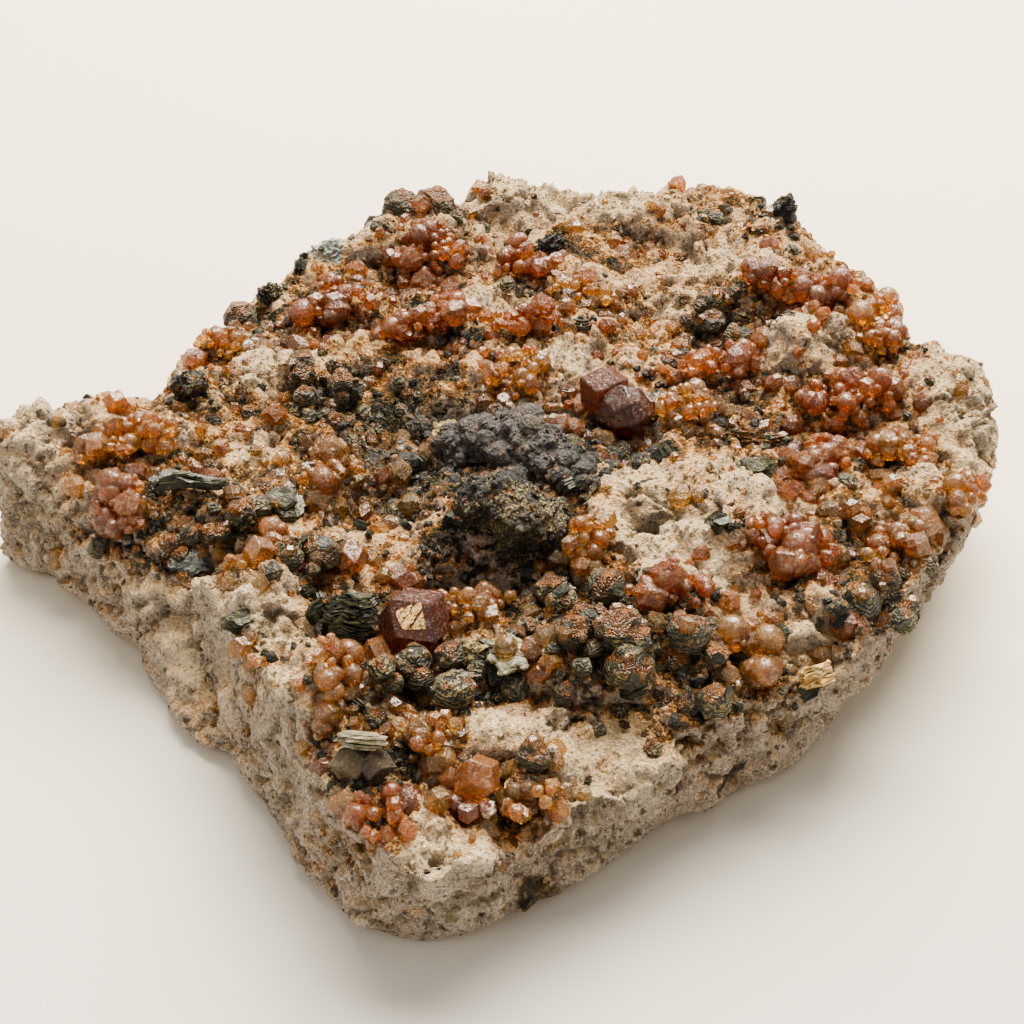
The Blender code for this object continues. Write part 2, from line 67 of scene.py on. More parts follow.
garnetNodes, quartzNodes, micaNodes = (
    sorted(name for name in frame["nodes"] if name.startswith(start))
    for start in ("garnet", "dark_quartz", "mica"))
topFrom = 9 * mm  # dents and bare zones are above this
sameSpot = 0.002 * mm  # corners nearer than this are one
onFloor = 0.02 * mm  # lower than this is the underside
slotOf = {row["node"]: row["material_slot"] for row in frame["record"]["subparts"]}
print("frame:", len(frame["nodes"]), "nodes")


# small helpers for meshes and node trees

def feed(node, inputs):
    # joins sockets and sets plain values
    for key, value in inputs.items():
        if isinstance(value, bpy.types.NodeSocket):
            node.id_data.links.new(value, node.inputs[key])
        else:
            node.inputs[key].default_value = value
    return node


def addNode(tree, kind, inputs=None, **settings):
    made = tree.nodes.new(kind)
    for key, value in settings.items():
        setattr(made, key, value)
    return feed(made, inputs or {})


def joinNode(kind, inputs, **settings):
    # a node in the tree that its inputs come from
    tree = next(value.id_data for value in inputs.values() if isinstance(value, bpy.types.NodeSocket))
    return addNode(tree, kind, inputs, **settings)


def mathOf(operation, a, b=0.0, c=0.0, clamp=False):
    return joinNode("ShaderNodeMath", {0: a, 1: b, 2: c}, operation=operation, use_clamp=clamp).outputs[0]


def times(a, b):
    return mathOf("MULTIPLY", a, b)


def timesPlus(a, b, c, clamp=False):
    return mathOf("MULTIPLY_ADD", a, b, c, clamp)


def vectorOf(operation, a, b=(0, 0, 0)):
    made = joinNode("ShaderNodeVectorMath", {0: a, 1: b}, operation=operation)
    return made.outputs["Value" if operation == "DOT_PRODUCT" else "Vector"]


def scaled(vector, factor):
    return joinNode("ShaderNodeVectorMath", {0: vector, "Scale": factor}, operation="SCALE").outputs[0]


def mapped(value, low, high, toLow=0.0, toHigh=1.0, smooth=True):
    made = joinNode("ShaderNodeMapRange", {0: value, 1: low, 2: high, 3: toLow, 4: toHigh})
    made.interpolation_type = "SMOOTHSTEP" if smooth else "LINEAR"
    return made.outputs[0]


def noiseOf(vector, scale, detail=2.0, rough=0.5, warp=0.0):
    inputs = {"Vector": vector, "Scale": scale, "Detail": detail, "Roughness": rough, "Distortion": warp}
    return joinNode("ShaderNodeTexNoise", inputs).outputs[0]


def heightOf(vector):
    return joinNode("ShaderNodeSeparateXYZ", {0: vector}).outputs[2]


def newTree(name, kind, inputs, outputs):
    # an input is given by its default, or by the kind of its socket, or by both
    tree = bpy.data.node_groups.new(name, kind)
    for label, given in inputs.items():
        if isinstance(given, (float, int)):
            given = ("Int" if isinstance(given, int) else "Float", given)
        socketKind, *default = (given,) if isinstance(given, str) else given
        socket = tree.interface.new_socket(label, in_out="INPUT", socket_type=f"NodeSocket{socketKind}")
        if default:
            socket.default_value = default[0]
    for label, socketKind in outputs.items():
        tree.interface.new_socket(label, in_out="OUTPUT", socket_type=f"NodeSocket{socketKind}")
    return tree, tree.nodes.new("NodeGroupInput").outputs, tree.nodes.new("NodeGroupOutput").inputs


def setInputs(modifier, values):
    for item in modifier.node_group.interface.items_tree:
        if item.item_type == "SOCKET" and item.in_out == "INPUT" and item.name in values:
            modifier[item.identifier] = values[item.name]


def objectOf(mesh, *materials):
    for material in materials:
        mesh.materials.append(material)
    made = bpy.data.objects.new(mesh.name, mesh)
    bpy.context.scene.collection.objects.link(made)
    return made


def meshOf(name, bm):
    mesh = bpy.data.meshes.new(name)
    bm.to_mesh(mesh)
    bm.free()
    return mesh


def addedTo(bm, mesh):
    # the mesh joins the bmesh: gives the number of corners that were there before it
    known = len(bm.verts)
    bm.from_mesh(mesh)
    bpy.data.meshes.remove(mesh)
    return known


def toned(bm, known, layer, tone):
    bm.verts.ensure_lookup_table()
    for vertex in bm.verts[known:]:
        vertex[layer] = tone


def mergedCopy(name, newName):
    bm = bmesh.new()
    bm.from_mesh(frame["nodes"][name].data)
    bmesh.ops.remove_doubles(bm, verts=bm.verts, dist=sameSpot)
    made = objectOf(meshOf(newName, bm))
    made.data.materials.clear()
    return made


def dressed(obj, material):
    obj.data.materials.clear()
    obj.data.materials.append(material)
    obj.data.shade_smooth()
    return obj


def stretched(bm, factors):
    for vertex in bm.verts:
        vertex.co = Vector(a * b for a, b in zip(vertex.co, factors))
    return bm


def boxMiddle(name):
    low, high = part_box(name)
    return (low + high) / 2


def cutAway(bm, point, normal):
    # takes off what lies past a plane, and closes the cut
    everything = bm.verts[:] + bm.edges[:] + bm.faces[:]
    made = bmesh.ops.bisect_plane(bm, geom=everything, plane_co=point, plane_no=normal, clear_outer=True)
    rim = [edge for edge in made["geom_cut"] if isinstance(edge, bmesh.types.BMEdge) and edge.is_boundary]
    if rim:
        bmesh.ops.edgeloop_fill(bm, edges=rim)


def applied(obj):
    # swaps the object's mesh for what its modifiers make of it
    graph = bpy.context.evaluated_depsgraph_get()
    mesh = bpy.data.meshes.new_from_object(obj.evaluated_get(graph), depsgraph=graph)
    obj.modifiers.clear()
    obj.data = mesh
    mesh.name = obj.name
    return obj


def remeshed(obj, voxel):
    grain = obj.modifiers.new("grain", "REMESH")
    grain.mode = "VOXEL"
    grain.voxel_size = voxel
    return applied(obj)


def thinned(obj, most):
    # merges the flattest faces until the mesh has no more triangles than this
    count = sum(len(face.vertices) - 2 for face in obj.data.polygons)
    thin = obj.modifiers.new("thin", "DECIMATE")
    thin.ratio = min(1, most / count)
    return applied(obj)


def finished(obj, slotName, *nodes):
    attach(obj, "root")
    if nodes:
        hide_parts(*nodes)
    return obj


# materials

colours = {
    "bright": (1.0, 0.79, 0.51),
    "cream": (0.98, 0.665, 0.385),
    "buff": (0.72, 0.49, 0.285),
    "dusk": (0.42, 0.36, 0.31),
    "ochre": (0.62, 0.35, 0.125),
    "rust": (0.42, 0.15, 0.035),
    "brown": (0.13, 0.060, 0.026),
    "pore": (0.060, 0.042, 0.022),
    "khaki": (0.26, 0.19, 0.075),
    "moss": (0.34, 0.28, 0.13),
    "black": (0.010, 0.010, 0.010),
    "slate": (0.046, 0.044, 0.040),
    "smoke": (0.105, 0.086, 0.090),
    "steel": (0.15, 0.165, 0.16),
    "silver": (0.45, 0.43, 0.35),
    "olive": (0.13, 0.115, 0.055),
    "pine": (0.060, 0.062, 0.042),
    "sand": (0.48, 0.38, 0.17),
    "wallPale": (0.96, 0.84, 0.73),
    "bluish": (0.23, 0.245, 0.225),
}


def shaderBase(name):
    material = bpy.data.materials.new(name)
    material.use_nodes = True
    tree = material.node_tree
    place = addNode(tree, "ShaderNodeTexCoord").outputs["Object"]
    return material, tree, tree.nodes["Principled BSDF"], place


def blend(share, a, b, kind="MIX"):
    first, second = (v if isinstance(v, bpy.types.NodeSocket) else (*v[:3], 1) for v in (a, b))
    inputs = {0: share, 6: first, 7: second}
    return joinNode("ShaderNodeMix", inputs, data_type="RGBA", blend_type=kind).outputs[2]


def attributeOf(tree, name):
    return addNode(tree, "ShaderNodeAttribute", attribute_name=name).outputs["Fac"]


def bumped(height, distance):
    return joinNode("ShaderNodeBump", {"Height": height, "Distance": distance, "Strength": 1.0}).outputs[0]


def makeGrainGroup():
    # a sugary, crystalline surface: round grains, each with its own random value, and finer crumbs on them
    tree, given, out = newTree(
        "sugaryGrain", "ShaderNodeTree",
        {"Vector": "Vector", "Grain": 0.9 * mm}, {"Pick": "Float", "Tone": "Float", "Height": "Float"},
    )
    scale = mathOf("DIVIDE", 1.0, given["Grain"])
    warp = addNode(tree, "ShaderNodeTexNoise", {"Vector": given["Vector"], "Scale": scale, "Detail": 2.0})
    reach = times(given["Grain"], 1.3)
    moved = vectorOf("ADD", given["Vector"], scaled(warp.outputs["Color"], reach))
    cells = addNode(tree, "ShaderNodeTexVoronoi", {"Vector": moved, "Scale": scale}, feature="F1")
    crumbs = noiseOf(given["Vector"], times(scale, 3.0), 3.0, 0.65)
    dome = mathOf("SUBTRACT", 0.75, cells.outputs["Distance"])
    tree.links.new(timesPlus(crumbs, 0.9, dome), out["Height"])
    tree.links.new(mapped(crumbs, 0.32, 0.68), out["Tone"])
    pick = addNode(tree, "ShaderNodeSeparateColor", {0: cells.outputs["Color"]}).outputs[0]
    tree.links.new(pick, out["Pick"])
    return tree


def makeSpeckGroup():
    # scattered dark specks: a share of the cells of a Voronoi pattern, each a ragged spot
    tree, given, out = newTree(
        "specks", "ShaderNodeTree",
        {"Vector": "Vector", "Size": 1.5 * mm, "Share": 0.3}, {"Mask": "Float"},
    )
    scale = mathOf("DIVIDE", 1.0, given["Size"])
    ragged = noiseOf(given["Vector"], times(scale, 3.5), 4.0, 0.7)
    cells = addNode(tree, "ShaderNodeTexVoronoi", {"Vector": given["Vector"], "Scale": scale}, feature="F1")
    pick = addNode(tree, "ShaderNodeSeparateColor", {0: cells.outputs["Color"]}).outputs[0]
    chosen = mathOf("LESS_THAN", pick, given["Share"])
    reach = timesPlus(ragged, 1.1, cells.outputs["Distance"])
    spot = mapped(reach, 0.98, 0.70)
    tree.links.new(times(spot, chosen), out["Mask"])
    return tree


grainGroup, speckGroup = makeGrainGroup(), makeSpeckGroup()


def grained(place, grain):
    return joinNode("ShaderNodeGroup", {"Vector": place, "Grain": grain}, node_tree=grainGroup).outputs


def specked(place, size, share):
    inputs = {"Vector": place, "Size": size, "Share": share}
    return joinNode("ShaderNodeGroup", inputs, node_tree=speckGroup).outputs["Mask"]


def rampOf(value, stops):
    made = joinNode("ShaderNodeValToRGB", {0: value})
    ramp = made.color_ramp
    while len(ramp.elements) < len(stops):
        ramp.elements.new(0.5)
    for element, (position, colour) in zip(ramp.elements, stops):
        element.position = position
        element.color = (*colours[colour], 1)
    return made.outputs[0]


rockStops = (
    (0.10, "bright"), (0.32, "cream"), (0.44, "buff"), (0.51, "cream"), (0.59, "ochre"), (0.69, "rust"),
    (0.78, "brown"), (0.86, "khaki"), (0.96, "black"),
)


def makeRockMaterial():
    # a mosaic of grains that runs from cream to rust, brown and black as the mix rises
    material, tree, shader, place = shaderBase("granular_feldspar")
    coarse, fine = grained(place, 1.25 * mm), grained(place, 0.55 * mm)
    kept = ("wall", "pore", "mix", "bare", "valley")
    wall, pore, mix, bare, valley = (attributeOf(tree, name) for name in kept)
    drift = noiseOf(place, 210.0, 4.0, 0.65)
    share = timesPlus(mix, mapped(drift, 0.3, 0.7, 0.35, 0.75), 0.03)
    share = timesPlus(coarse["Pick"], 0.30, share)
    share = timesPlus(fine["Pick"], 0.16, share)
    share = timesPlus(mathOf("SUBTRACT", drift, 0.5), 0.35, share)
    # partly stain, partly painted shade: the valleys between knobs move the colour towards ochre, rust and
    # brown, which is darker, less so on bare zones
    valleyStainAndShade = times(valley, timesPlus(bare, -0.8, 1.0))
    share = timesPlus(valleyStainAndShade, mapped(drift, 0.35, 0.65, 0.10, 0.45), share)
    share = timesPlus(bare, -0.24, share, clamp=True)
    sugar = mapped(noiseOf(place, 2700.0, 3.0, 0.75), 0.36, 0.64)
    base = rampOf(timesPlus(mathOf("SUBTRACT", 0.5, sugar), 0.20, share), rockStops)
    height = timesPlus(sugar, 0.8, fine["Height"])
    # painted shade: the colour is multiplied darker where the grain height is low, as shade falling between the
    # grains
    shade = mapped(height, 0.62, 1.10, 0.66, 1.0)
    paler = timesPlus(times(sugar, fine["Tone"]), 0.75, 0.40)
    # painted shade: on the walls the valleys between knobs pull the colour towards dusk
    greyer = blend(timesPlus(valley, -0.25, paler, clamp=True), colours["dusk"], colours["wallPale"])
    base = blend(times(wall, 0.8), base, greyer)
    cavityShade = joinNode("ShaderNodeCombineColor", {0: shade, 1: shade, 2: shade}).outputs[0]
    base = blend(1.0, base, cavityShade, "MULTIPLY")
    fewOrMany = mapped(wall, 0.0, 1.0, 0.03, 0.16)
    specks = specked(place, 1.6 * mm, fewOrMany)
    clumps = mapped(noiseOf(place, 170.0, 2.0), 0.4, 0.62, 0.35, 1.0)
    small = specked(place, 0.7 * mm, times(clumps, mapped(wall, 0.0, 1.0, 0.12, 0.55)))
    dark = mathOf("MAXIMUM", times(specks, 0.85), times(small, 0.7))
    # partly dark pores, partly painted shade: the pits and cracks (pore) are darkened towards the pore colour
    dark = mathOf("MAXIMUM", dark, times(pore, 0.6))
    base = blend(dark, base, colours["pore"])
    ragged = mapped(drift, 0.35, 0.6, 0.55, 1.6)
    vein = mapped(times(attributeOf(tree, "vein"), ragged), 0.35, 0.75)
    base = blend(times(vein, 0.75), base, blend(fine["Pick"], colours["olive"], colours["moss"]))
    blot = mapped(times(attributeOf(tree, "blot"), ragged), 0.35, 0.7)
    stony = blend(mapped(fine["Pick"], 0.45, 0.95), colours["black"], colours["khaki"])
    base = blend(times(blot, 0.85), base, stony)
    feed(shader, {"Base Color": base, "Roughness": 0.88, "Specular IOR Level": 0.25,
                  "Normal": bumped(height, 0.5 * mm)})
    return material


garnetIor = 1.74

# each garnet colour: two ends of its range, how clear it is, how rough its faces are, and their bump in mm
garnetLooks = {
    "garnet_orange": {"pale": (1.0, 0.60, 0.18), "deep": (0.88, 0.34, 0.07),
                      "clear": 0.92, "rough": 0.24, "bump": 0.065},
    "garnet_red": {"pale": (0.98, 0.39, 0.08), "deep": (0.58, 0.16, 0.04),
                      "clear": 0.90, "rough": 0.26, "bump": 0.065},
    "garnet_deep": {"pale": (0.50, 0.115, 0.026), "deep": (0.15, 0.025, 0.007),
                      "clear": 0.80, "rough": 0.25, "bump": 0.09},
    "smoky_block": {"pale": (0.17, 0.135, 0.080), "deep": (0.055, 0.042, 0.036),
                      "clear": 0.3, "rough": 0.20, "bump": 0.08},
}


def makeGarnetMaterial(name, look):
    material, tree, shader, place = shaderBase(name)
    tint = attributeOf(tree, "tint")
    drift = mapped(noiseOf(place, 380.0, 3.0, 0.65), 0.3, 0.7)
    share = mathOf("ADD", times(tint, 0.85), times(drift, 0.4))
    base = blend(mapped(share, 0.2, 1.2, smooth=False), look["pale"], look["deep"])
    scurf = mapped(noiseOf(place, 1900.0, 4.0, 0.75), 0.50, 0.66)
    base = blend(times(scurf, 0.10), base, (0.60, 0.42, 0.24))
    flaws = mapped(noiseOf(place, 1300.0, 3.0, 0.65, 0.8), 0.42, 0.30)
    base = blend(times(flaws, 0.7), base, colours["pore"])
    feed(shader, {
        "Base Color": base, "Roughness": mapped(scurf, 0.0, 1.0, look["rough"], look["rough"] + 0.2),
        "Transmission Weight": look["clear"], "IOR": garnetIor, "Specular IOR Level": 0.07,
        "Normal": bumped(timesPlus(noiseOf(place, 1500.0, 3.0, 0.7), 1.8, scurf), look["bump"] * mm),
    })
    return material


def contours(place, scale, count, rise=0.0):
    # thin lines that follow a slow field as contours do; rise adds level lines
    field = noiseOf(place, scale, 2.0, 0.55, 0.5)
    frayed = timesPlus(noiseOf(place, 3000.0, 1.0), 1.5, times(field, count))
    if rise:
        frayed = timesPlus(heightOf(place), rise, frayed)
    return mathOf("PINGPONG", frayed, 0.5)


def makeRindedMaterial():
    # brown garnet, wrapped in dark foliated mica round its sides; a higher tint has more of the wrapping
    material, tree, shader, place = shaderBase("garnet_brown")
    tint = attributeOf(tree, "tint")
    lines = times(contours(place, 300.0, 7.0, 2000.0), 2.0)
    patchy = noiseOf(place, 420.0, 3.0, 0.7)
    side = mapped(heightOf(addNode(tree, "ShaderNodeNewGeometry").outputs["Normal"]), 0.95, 0.35, -0.10, 0.14)
    share = timesPlus(tint, 0.30, mathOf("ADD", patchy, side))
    wrapped = mapped(share, 0.54, 0.64)
    tone = mapped(noiseOf(place, 190.0, 2.0, 0.6), 0.40, 0.60)
    leaf = blend(times(mapped(lines, 0.40, 1.0), mapped(tone, 0, 1, 0.25, 0.95)),
                 colours["pine"], colours["sand"])
    leaf = blend(mapped(lines, 0.35, 0.05), leaf, colours["black"])
    drift = mapped(noiseOf(place, 700.0, 3.0, 0.7), 0.35, 0.65)
    glassy = blend(drift, (0.30, 0.115, 0.030), (0.065, 0.030, 0.016))
    feed(shader, {
        "Base Color": blend(wrapped, glassy, leaf), "Roughness": mapped(wrapped, 0.0, 1.0, 0.26, 0.60),
        "Transmission Weight": 0.3, "IOR": garnetIor, "Specular IOR Level": 0.2,
        "Normal": bumped(timesPlus(lines, 0.8, noiseOf(place, 1700.0, 3.0, 0.7)), 0.24 * mm),
    })
    return material


def makePaintedGlintMaterial():
    # one striated face of the main garnet, bright as old gold: a painted reflection of a warm light, put in its
    # colour
    material, tree, shader, place = shaderBase("golden_facet")
    along = vectorOf("DOT_PRODUCT", place, (0.80, -0.40, -0.44))
    wobble = timesPlus(noiseOf(place, 700.0, 2.0), 0.7 * mm, along)
    lines = noiseOf(addNode(tree, "ShaderNodeCombineXYZ", {0: wobble}).outputs[0], 1700.0, 3.0, 0.7)
    flecks = noiseOf(place, 3600.0, 3.0, 0.7)
    bands = mapped(timesPlus(flecks, 0.35, lines), 0.635, 0.675)
    # painted reflection: the gold colour of the glint
    paintedGlint = blend(mapped(flecks, 0.42, 0.62), (0.92, 0.52, 0.15), (1.0, 0.86, 0.50))
    feed(shader, {
        "Base Color": blend(bands, (0.10, 0.030, 0.010), paintedGlint), "Metallic": 0.4, "Roughness": 0.34,
        "Normal": bumped(timesPlus(flecks, 0.6, lines), 0.10 * mm),
    })
    return material


def makeQuartzMaterial(name, low, high, crust):
    material, _, shader, place = shaderBase(name)
    grain = grained(place, 0.5 * mm)
    patchy = mapped(noiseOf(place, 230.0, 3.0, 0.65), 0.42, 0.58)
    base = blend(mapped(grain["Pick"], 0.35, 0.9), colours[low], colours[high])
    dust = timesPlus(patchy, 0.115 * crust, noiseOf(place, 3400.0, 3.0, 0.7))
    dust = mapped(dust, 0.625, 0.66)
    base = blend(times(dust, 0.9), base, blend(grain["Tone"], colours["khaki"], colours["sand"]))
    rusty = times(specked(place, 1.1 * mm, 0.16), 0.7 * crust)
    base = blend(rusty, base, colours["rust"])
    broad = noiseOf(place, 130.0, 3.0, 0.65, 0.6)
    soil = mapped(broad, 0.54, 0.62, 0.0, 0.25)
    base = blend(soil, base, blend(grain["Tone"], colours["pore"], colours["khaki"]))
    base = blend(mapped(broad, 0.44, 0.36, 0.0, 0.7), base, colours["black"])
    feed(shader, {"Base Color": base, "Roughness": mapped(grain["Tone"], 0.0, 1.0, 0.22, 0.7),
                  "Normal": bumped(timesPlus(dust, 0.5, grain["Height"]), 0.3 * mm)})
    return material


def makeMicaMaterial(name, pale, deep):
    # each sheet has its own tone, from the layer attribute
    material, tree, shader, place = shaderBase(name)
    drift = mapped(noiseOf(place, 900.0, 3.0, 0.65), 0.3, 0.7)
    share = timesPlus(drift, 0.5, times(attributeOf(tree, "layer"), 0.6))
    share = timesPlus(contours(place, 260.0, 9.0), 0.5, share)
    base = blend(mapped(share, 0.1, 1.1, smooth=False), pale, deep)
    feed(shader, {
        "Base Color": base, "Roughness": mapped(drift, 0.0, 1.0, 0.28, 0.6), "Specular IOR Level": 0.35,
        "Coat Weight": 0.08, "Coat Roughness": 0.25, "Normal": bumped(drift, 0.12 * mm),
    })
    return material


rockMaterial = makeRockMaterial()
garnetMaterials = {name: makeGarnetMaterial(name, look) for name, look in garnetLooks.items()}
garnetMaterials["garnet_brown"] = makeRindedMaterial()
quartzMaterial = makeQuartzMaterial("pitted_dark_quartz", "black", "slate", 1.0)
smokyMaterial = makeQuartzMaterial("smoky_grey_quartz", "slate", "smoke", 0.4)
khakiMaterial = makeQuartzMaterial("khaki_crust", "khaki", "sand", 2.0)
paintedGlintMaterial = makePaintedGlintMaterial()
micaMaterials = {
    "silver": makeMicaMaterial("silver_mica", colours["silver"], colours["olive"]),
    "gold": makeMicaMaterial("gold_mica", colours["ochre"], colours["moss"]),
    "dark": makeMicaMaterial("dark_mica", (0.100, 0.092, 0.048), (0.018, 0.021, 0.017)),
    "blue": makeMicaMaterial("bluish_grey", colours["bluish"], colours["steel"]),
}
print("materials:", len(bpy.data.materials))


# forms of crystals and grains that are grown over the surfaces, about 1 across before scaling

def hull(points):
    bm = bmesh.new()
    for point in points:
        bm.verts.new(point)
    made = bmesh.ops.convex_hull(bm, input=bm.verts)
    inside = set(made["geom_interior"] + made["geom_unused"])
    bmesh.ops.delete(bm, geom=[v for v in inside if isinstance(v, bmesh.types.BMVert)], context="VERTS")
    bmesh.ops.dissolve_limit(bm, angle_limit=math.radians(1), verts=bm.verts, edges=bm.edges)
    return bm


def crystalBody(kites, seed, squash=(1, 1, 1)):
    # a block trimmed by the planes of a garnet's faces, each a little nearer or farther than its neighbours
    dice = random.Random(seed)
    normals = set()
    for order in ((0, 1, 2), (1, 2, 0), (2, 0, 1)):
        for signs in itertools.product((1, -1), repeat=3):
            lengths = (2, 1, 1) if kites else (1, 1, 0)
            normal = [0, 0, 0]
            for axis, length, sign in zip(order, lengths, signs):
                normal[axis] = length * sign
            normals.add(tuple(normal))
    bm = bmesh.new()
    bmesh.ops.create_cube(bm, size=4)
    for normal in sorted(normals):
        way = Vector(normal).normalized()
        reach = (0.93 if kites else 0.86) * dice.uniform(0.93, 1.05)
        cutAway(bm, way * reach, way)
    bmesh.ops.dissolve_degenerate(bm, dist=0.02, edges=bm.edges[:])
    bmesh.ops.recalc_face_normals(bm, faces=bm.faces)
    return stretched(bm, squash)


def makeForms(name, bodies):
    group = bpy.data.collections.new(name)
    bpy.context.scene.collection.children.link(group)
    for index, bm in enumerate(bodies):
        group.objects.link(bpy.data.objects.new(f"{name}_{index}", meshOf(f"{name}_{index}", bm)))
    group.hide_render = True
    return group


def lumpBody(seed, dent):
    dice = random.Random(seed)
    bm = bmesh.new()
    bmesh.ops.create_icosphere(bm, subdivisions=1, radius=1)
    points = [v.co * dice.uniform(1 - dent, 1 + dent) for v in bm.verts]
    bm.free()
    return hull(points)


def noduleBody(seed, sharp=0.7, lumpy=1.0, level=3):
    # a rounded crystal with a rough, lumpy surface
    rough = Vector((seed * 3.1, seed * 1.7, 0))
    bm = crystalBody(True, seed, (1, 1, 1))
    faces = [(face.normal.copy(), face.normal.dot(face.verts[0].co)) for face in bm.faces]
    bm.free()
    bm = bmesh.new()
    bmesh.ops.create_icosphere(bm, subdivisions=level, radius=1)
    for vertex in bm.verts:
        way = vertex.co.normalized()
        reach = min(far / way.dot(normal) for normal, far in faces if way.dot(normal) > 0.2)
        bump = 0.16 * noise.noise(way * 2.2 + rough) + 0.15 * noise.noise(way * 5.0 + rough)
        vertex.co = way * (sharp * reach + (1 - sharp) + lumpy * bump)
    return bm


def wornBody(seed, squash=(1, 1, 1)):
    # a crystal whose edges are worn round
    bm = stretched(noduleBody(seed, 0.9, 0.5, 2), squash)
    for face in bm.faces:
        face.smooth = True
    return bm


def softened(bm, width):
    bmesh.ops.bevel(bm, geom=bm.edges[:], offset=width, segments=1, affect="EDGES", profile=0.5)
    return bm


def sheetStack(bm, sheets, place, seed, ragged=0.14, corners=9):
    # thin ragged sheets one on another, from the heights and sizes given, with a tone for each
    dice = random.Random(seed)
    layer = bm.verts.layers.float.get("layer") or bm.verts.layers.float.new("layer")
    outline = [dice.uniform(1 - ragged, 1 + ragged) for _ in range(corners)]
    for low, high, size, tone in sheets:
        own = [dice.uniform(1 - ragged / 2, 1 + ragged / 2) for _ in range(corners)]
        shift = Vector((dice.uniform(-0.08, 0.08), dice.uniform(-0.08, 0.08), 0))
        rings = []
        for level in (low, high):
            ring = []
            for corner in range(corners):
                angle = 2 * math.pi * corner / corners
                reach = size * outline[corner] * own[corner]
                spot = Vector((reach * math.cos(angle), reach * math.sin(angle), level)) + shift
                vertex = bm.verts.new(place @ spot)
                vertex[layer] = tone
                ring.append(vertex)
            rings.append(ring)
        bm.faces.new(rings[0][::-1])
        bm.faces.new(rings[1])
        for a in range(corners):
            b = (a + 1) % corners
            bm.faces.new((rings[0][a], rings[0][b], rings[1][b], rings[1][a]))
    return bm


def bookBody(seed):
    dice = random.Random(seed)
    count = 6
    sheets = []
    for index in range(count):
        level = (index / (count - 1) - 0.5) * 1.1
        size = 0.95 - 0.5 * abs(level) + dice.uniform(-0.12, 0.06)
        sheets.append((level - 0.11, level + 0.11, size, dice.choice((0.45, 0.8, 1.0, 0.9))))
    return sheetStack(bmesh.new(), sheets, Matrix.Identity(4), seed, 0.2, 7)


garnetForms = makeForms("garnet_form", [
    crystalBody(False, 1), crystalBody(False, 2, (1, 1.18, 0.9)), crystalBody(True, 3),
    crystalBody(True, 4, (1.1, 0.9, 1)),
    crystalBody(True, 5, (0.95, 1.1, 1)),
])
crustForms = makeForms("crust_form", [
    softened(crystalBody(False, 6), 0.06), wornBody(12, (1.05, 1.15, 0.9)),
    softened(crystalBody(True, 8, (1, 1.12, 1)), 0.04),
    wornBody(14, (0.95, 1, 1.12)), softened(crystalBody(False, 15, (1.1, 1, 0.92)), 0.05),
    wornBody(16, (1.1, 0.9, 1)),
])
noduleForms = makeForms("nodule_form", [noduleBody(seed, 0.8, 1.0, 2) for seed in range(1, 5)])
grainForms = makeForms("grain_form", [lumpBody(seed, 0.28) for seed in range(4)])
bookForms = makeForms("book_form", [bookBody(seed) for seed in range(4)])


# geometry nodes: crystals grown over a surface

def named(tree, name):
    return addNode(tree, "GeometryNodeInputNamedAttribute", {"Name": name}, data_type="FLOAT").outputs[0]


def storedAs(geometry, name, value, **settings):
    inputs = {"Geometry": geometry, "Name": name, "Value": value}
    return joinNode("GeometryNodeStoreNamedAttribute", inputs, **settings).outputs[0]


def offsetBy(geometry, offset):
    return joinNode("GeometryNodeSetPosition", {"Geometry": geometry, "Offset": offset}).outputs[0]


fullTurn = 6.2832


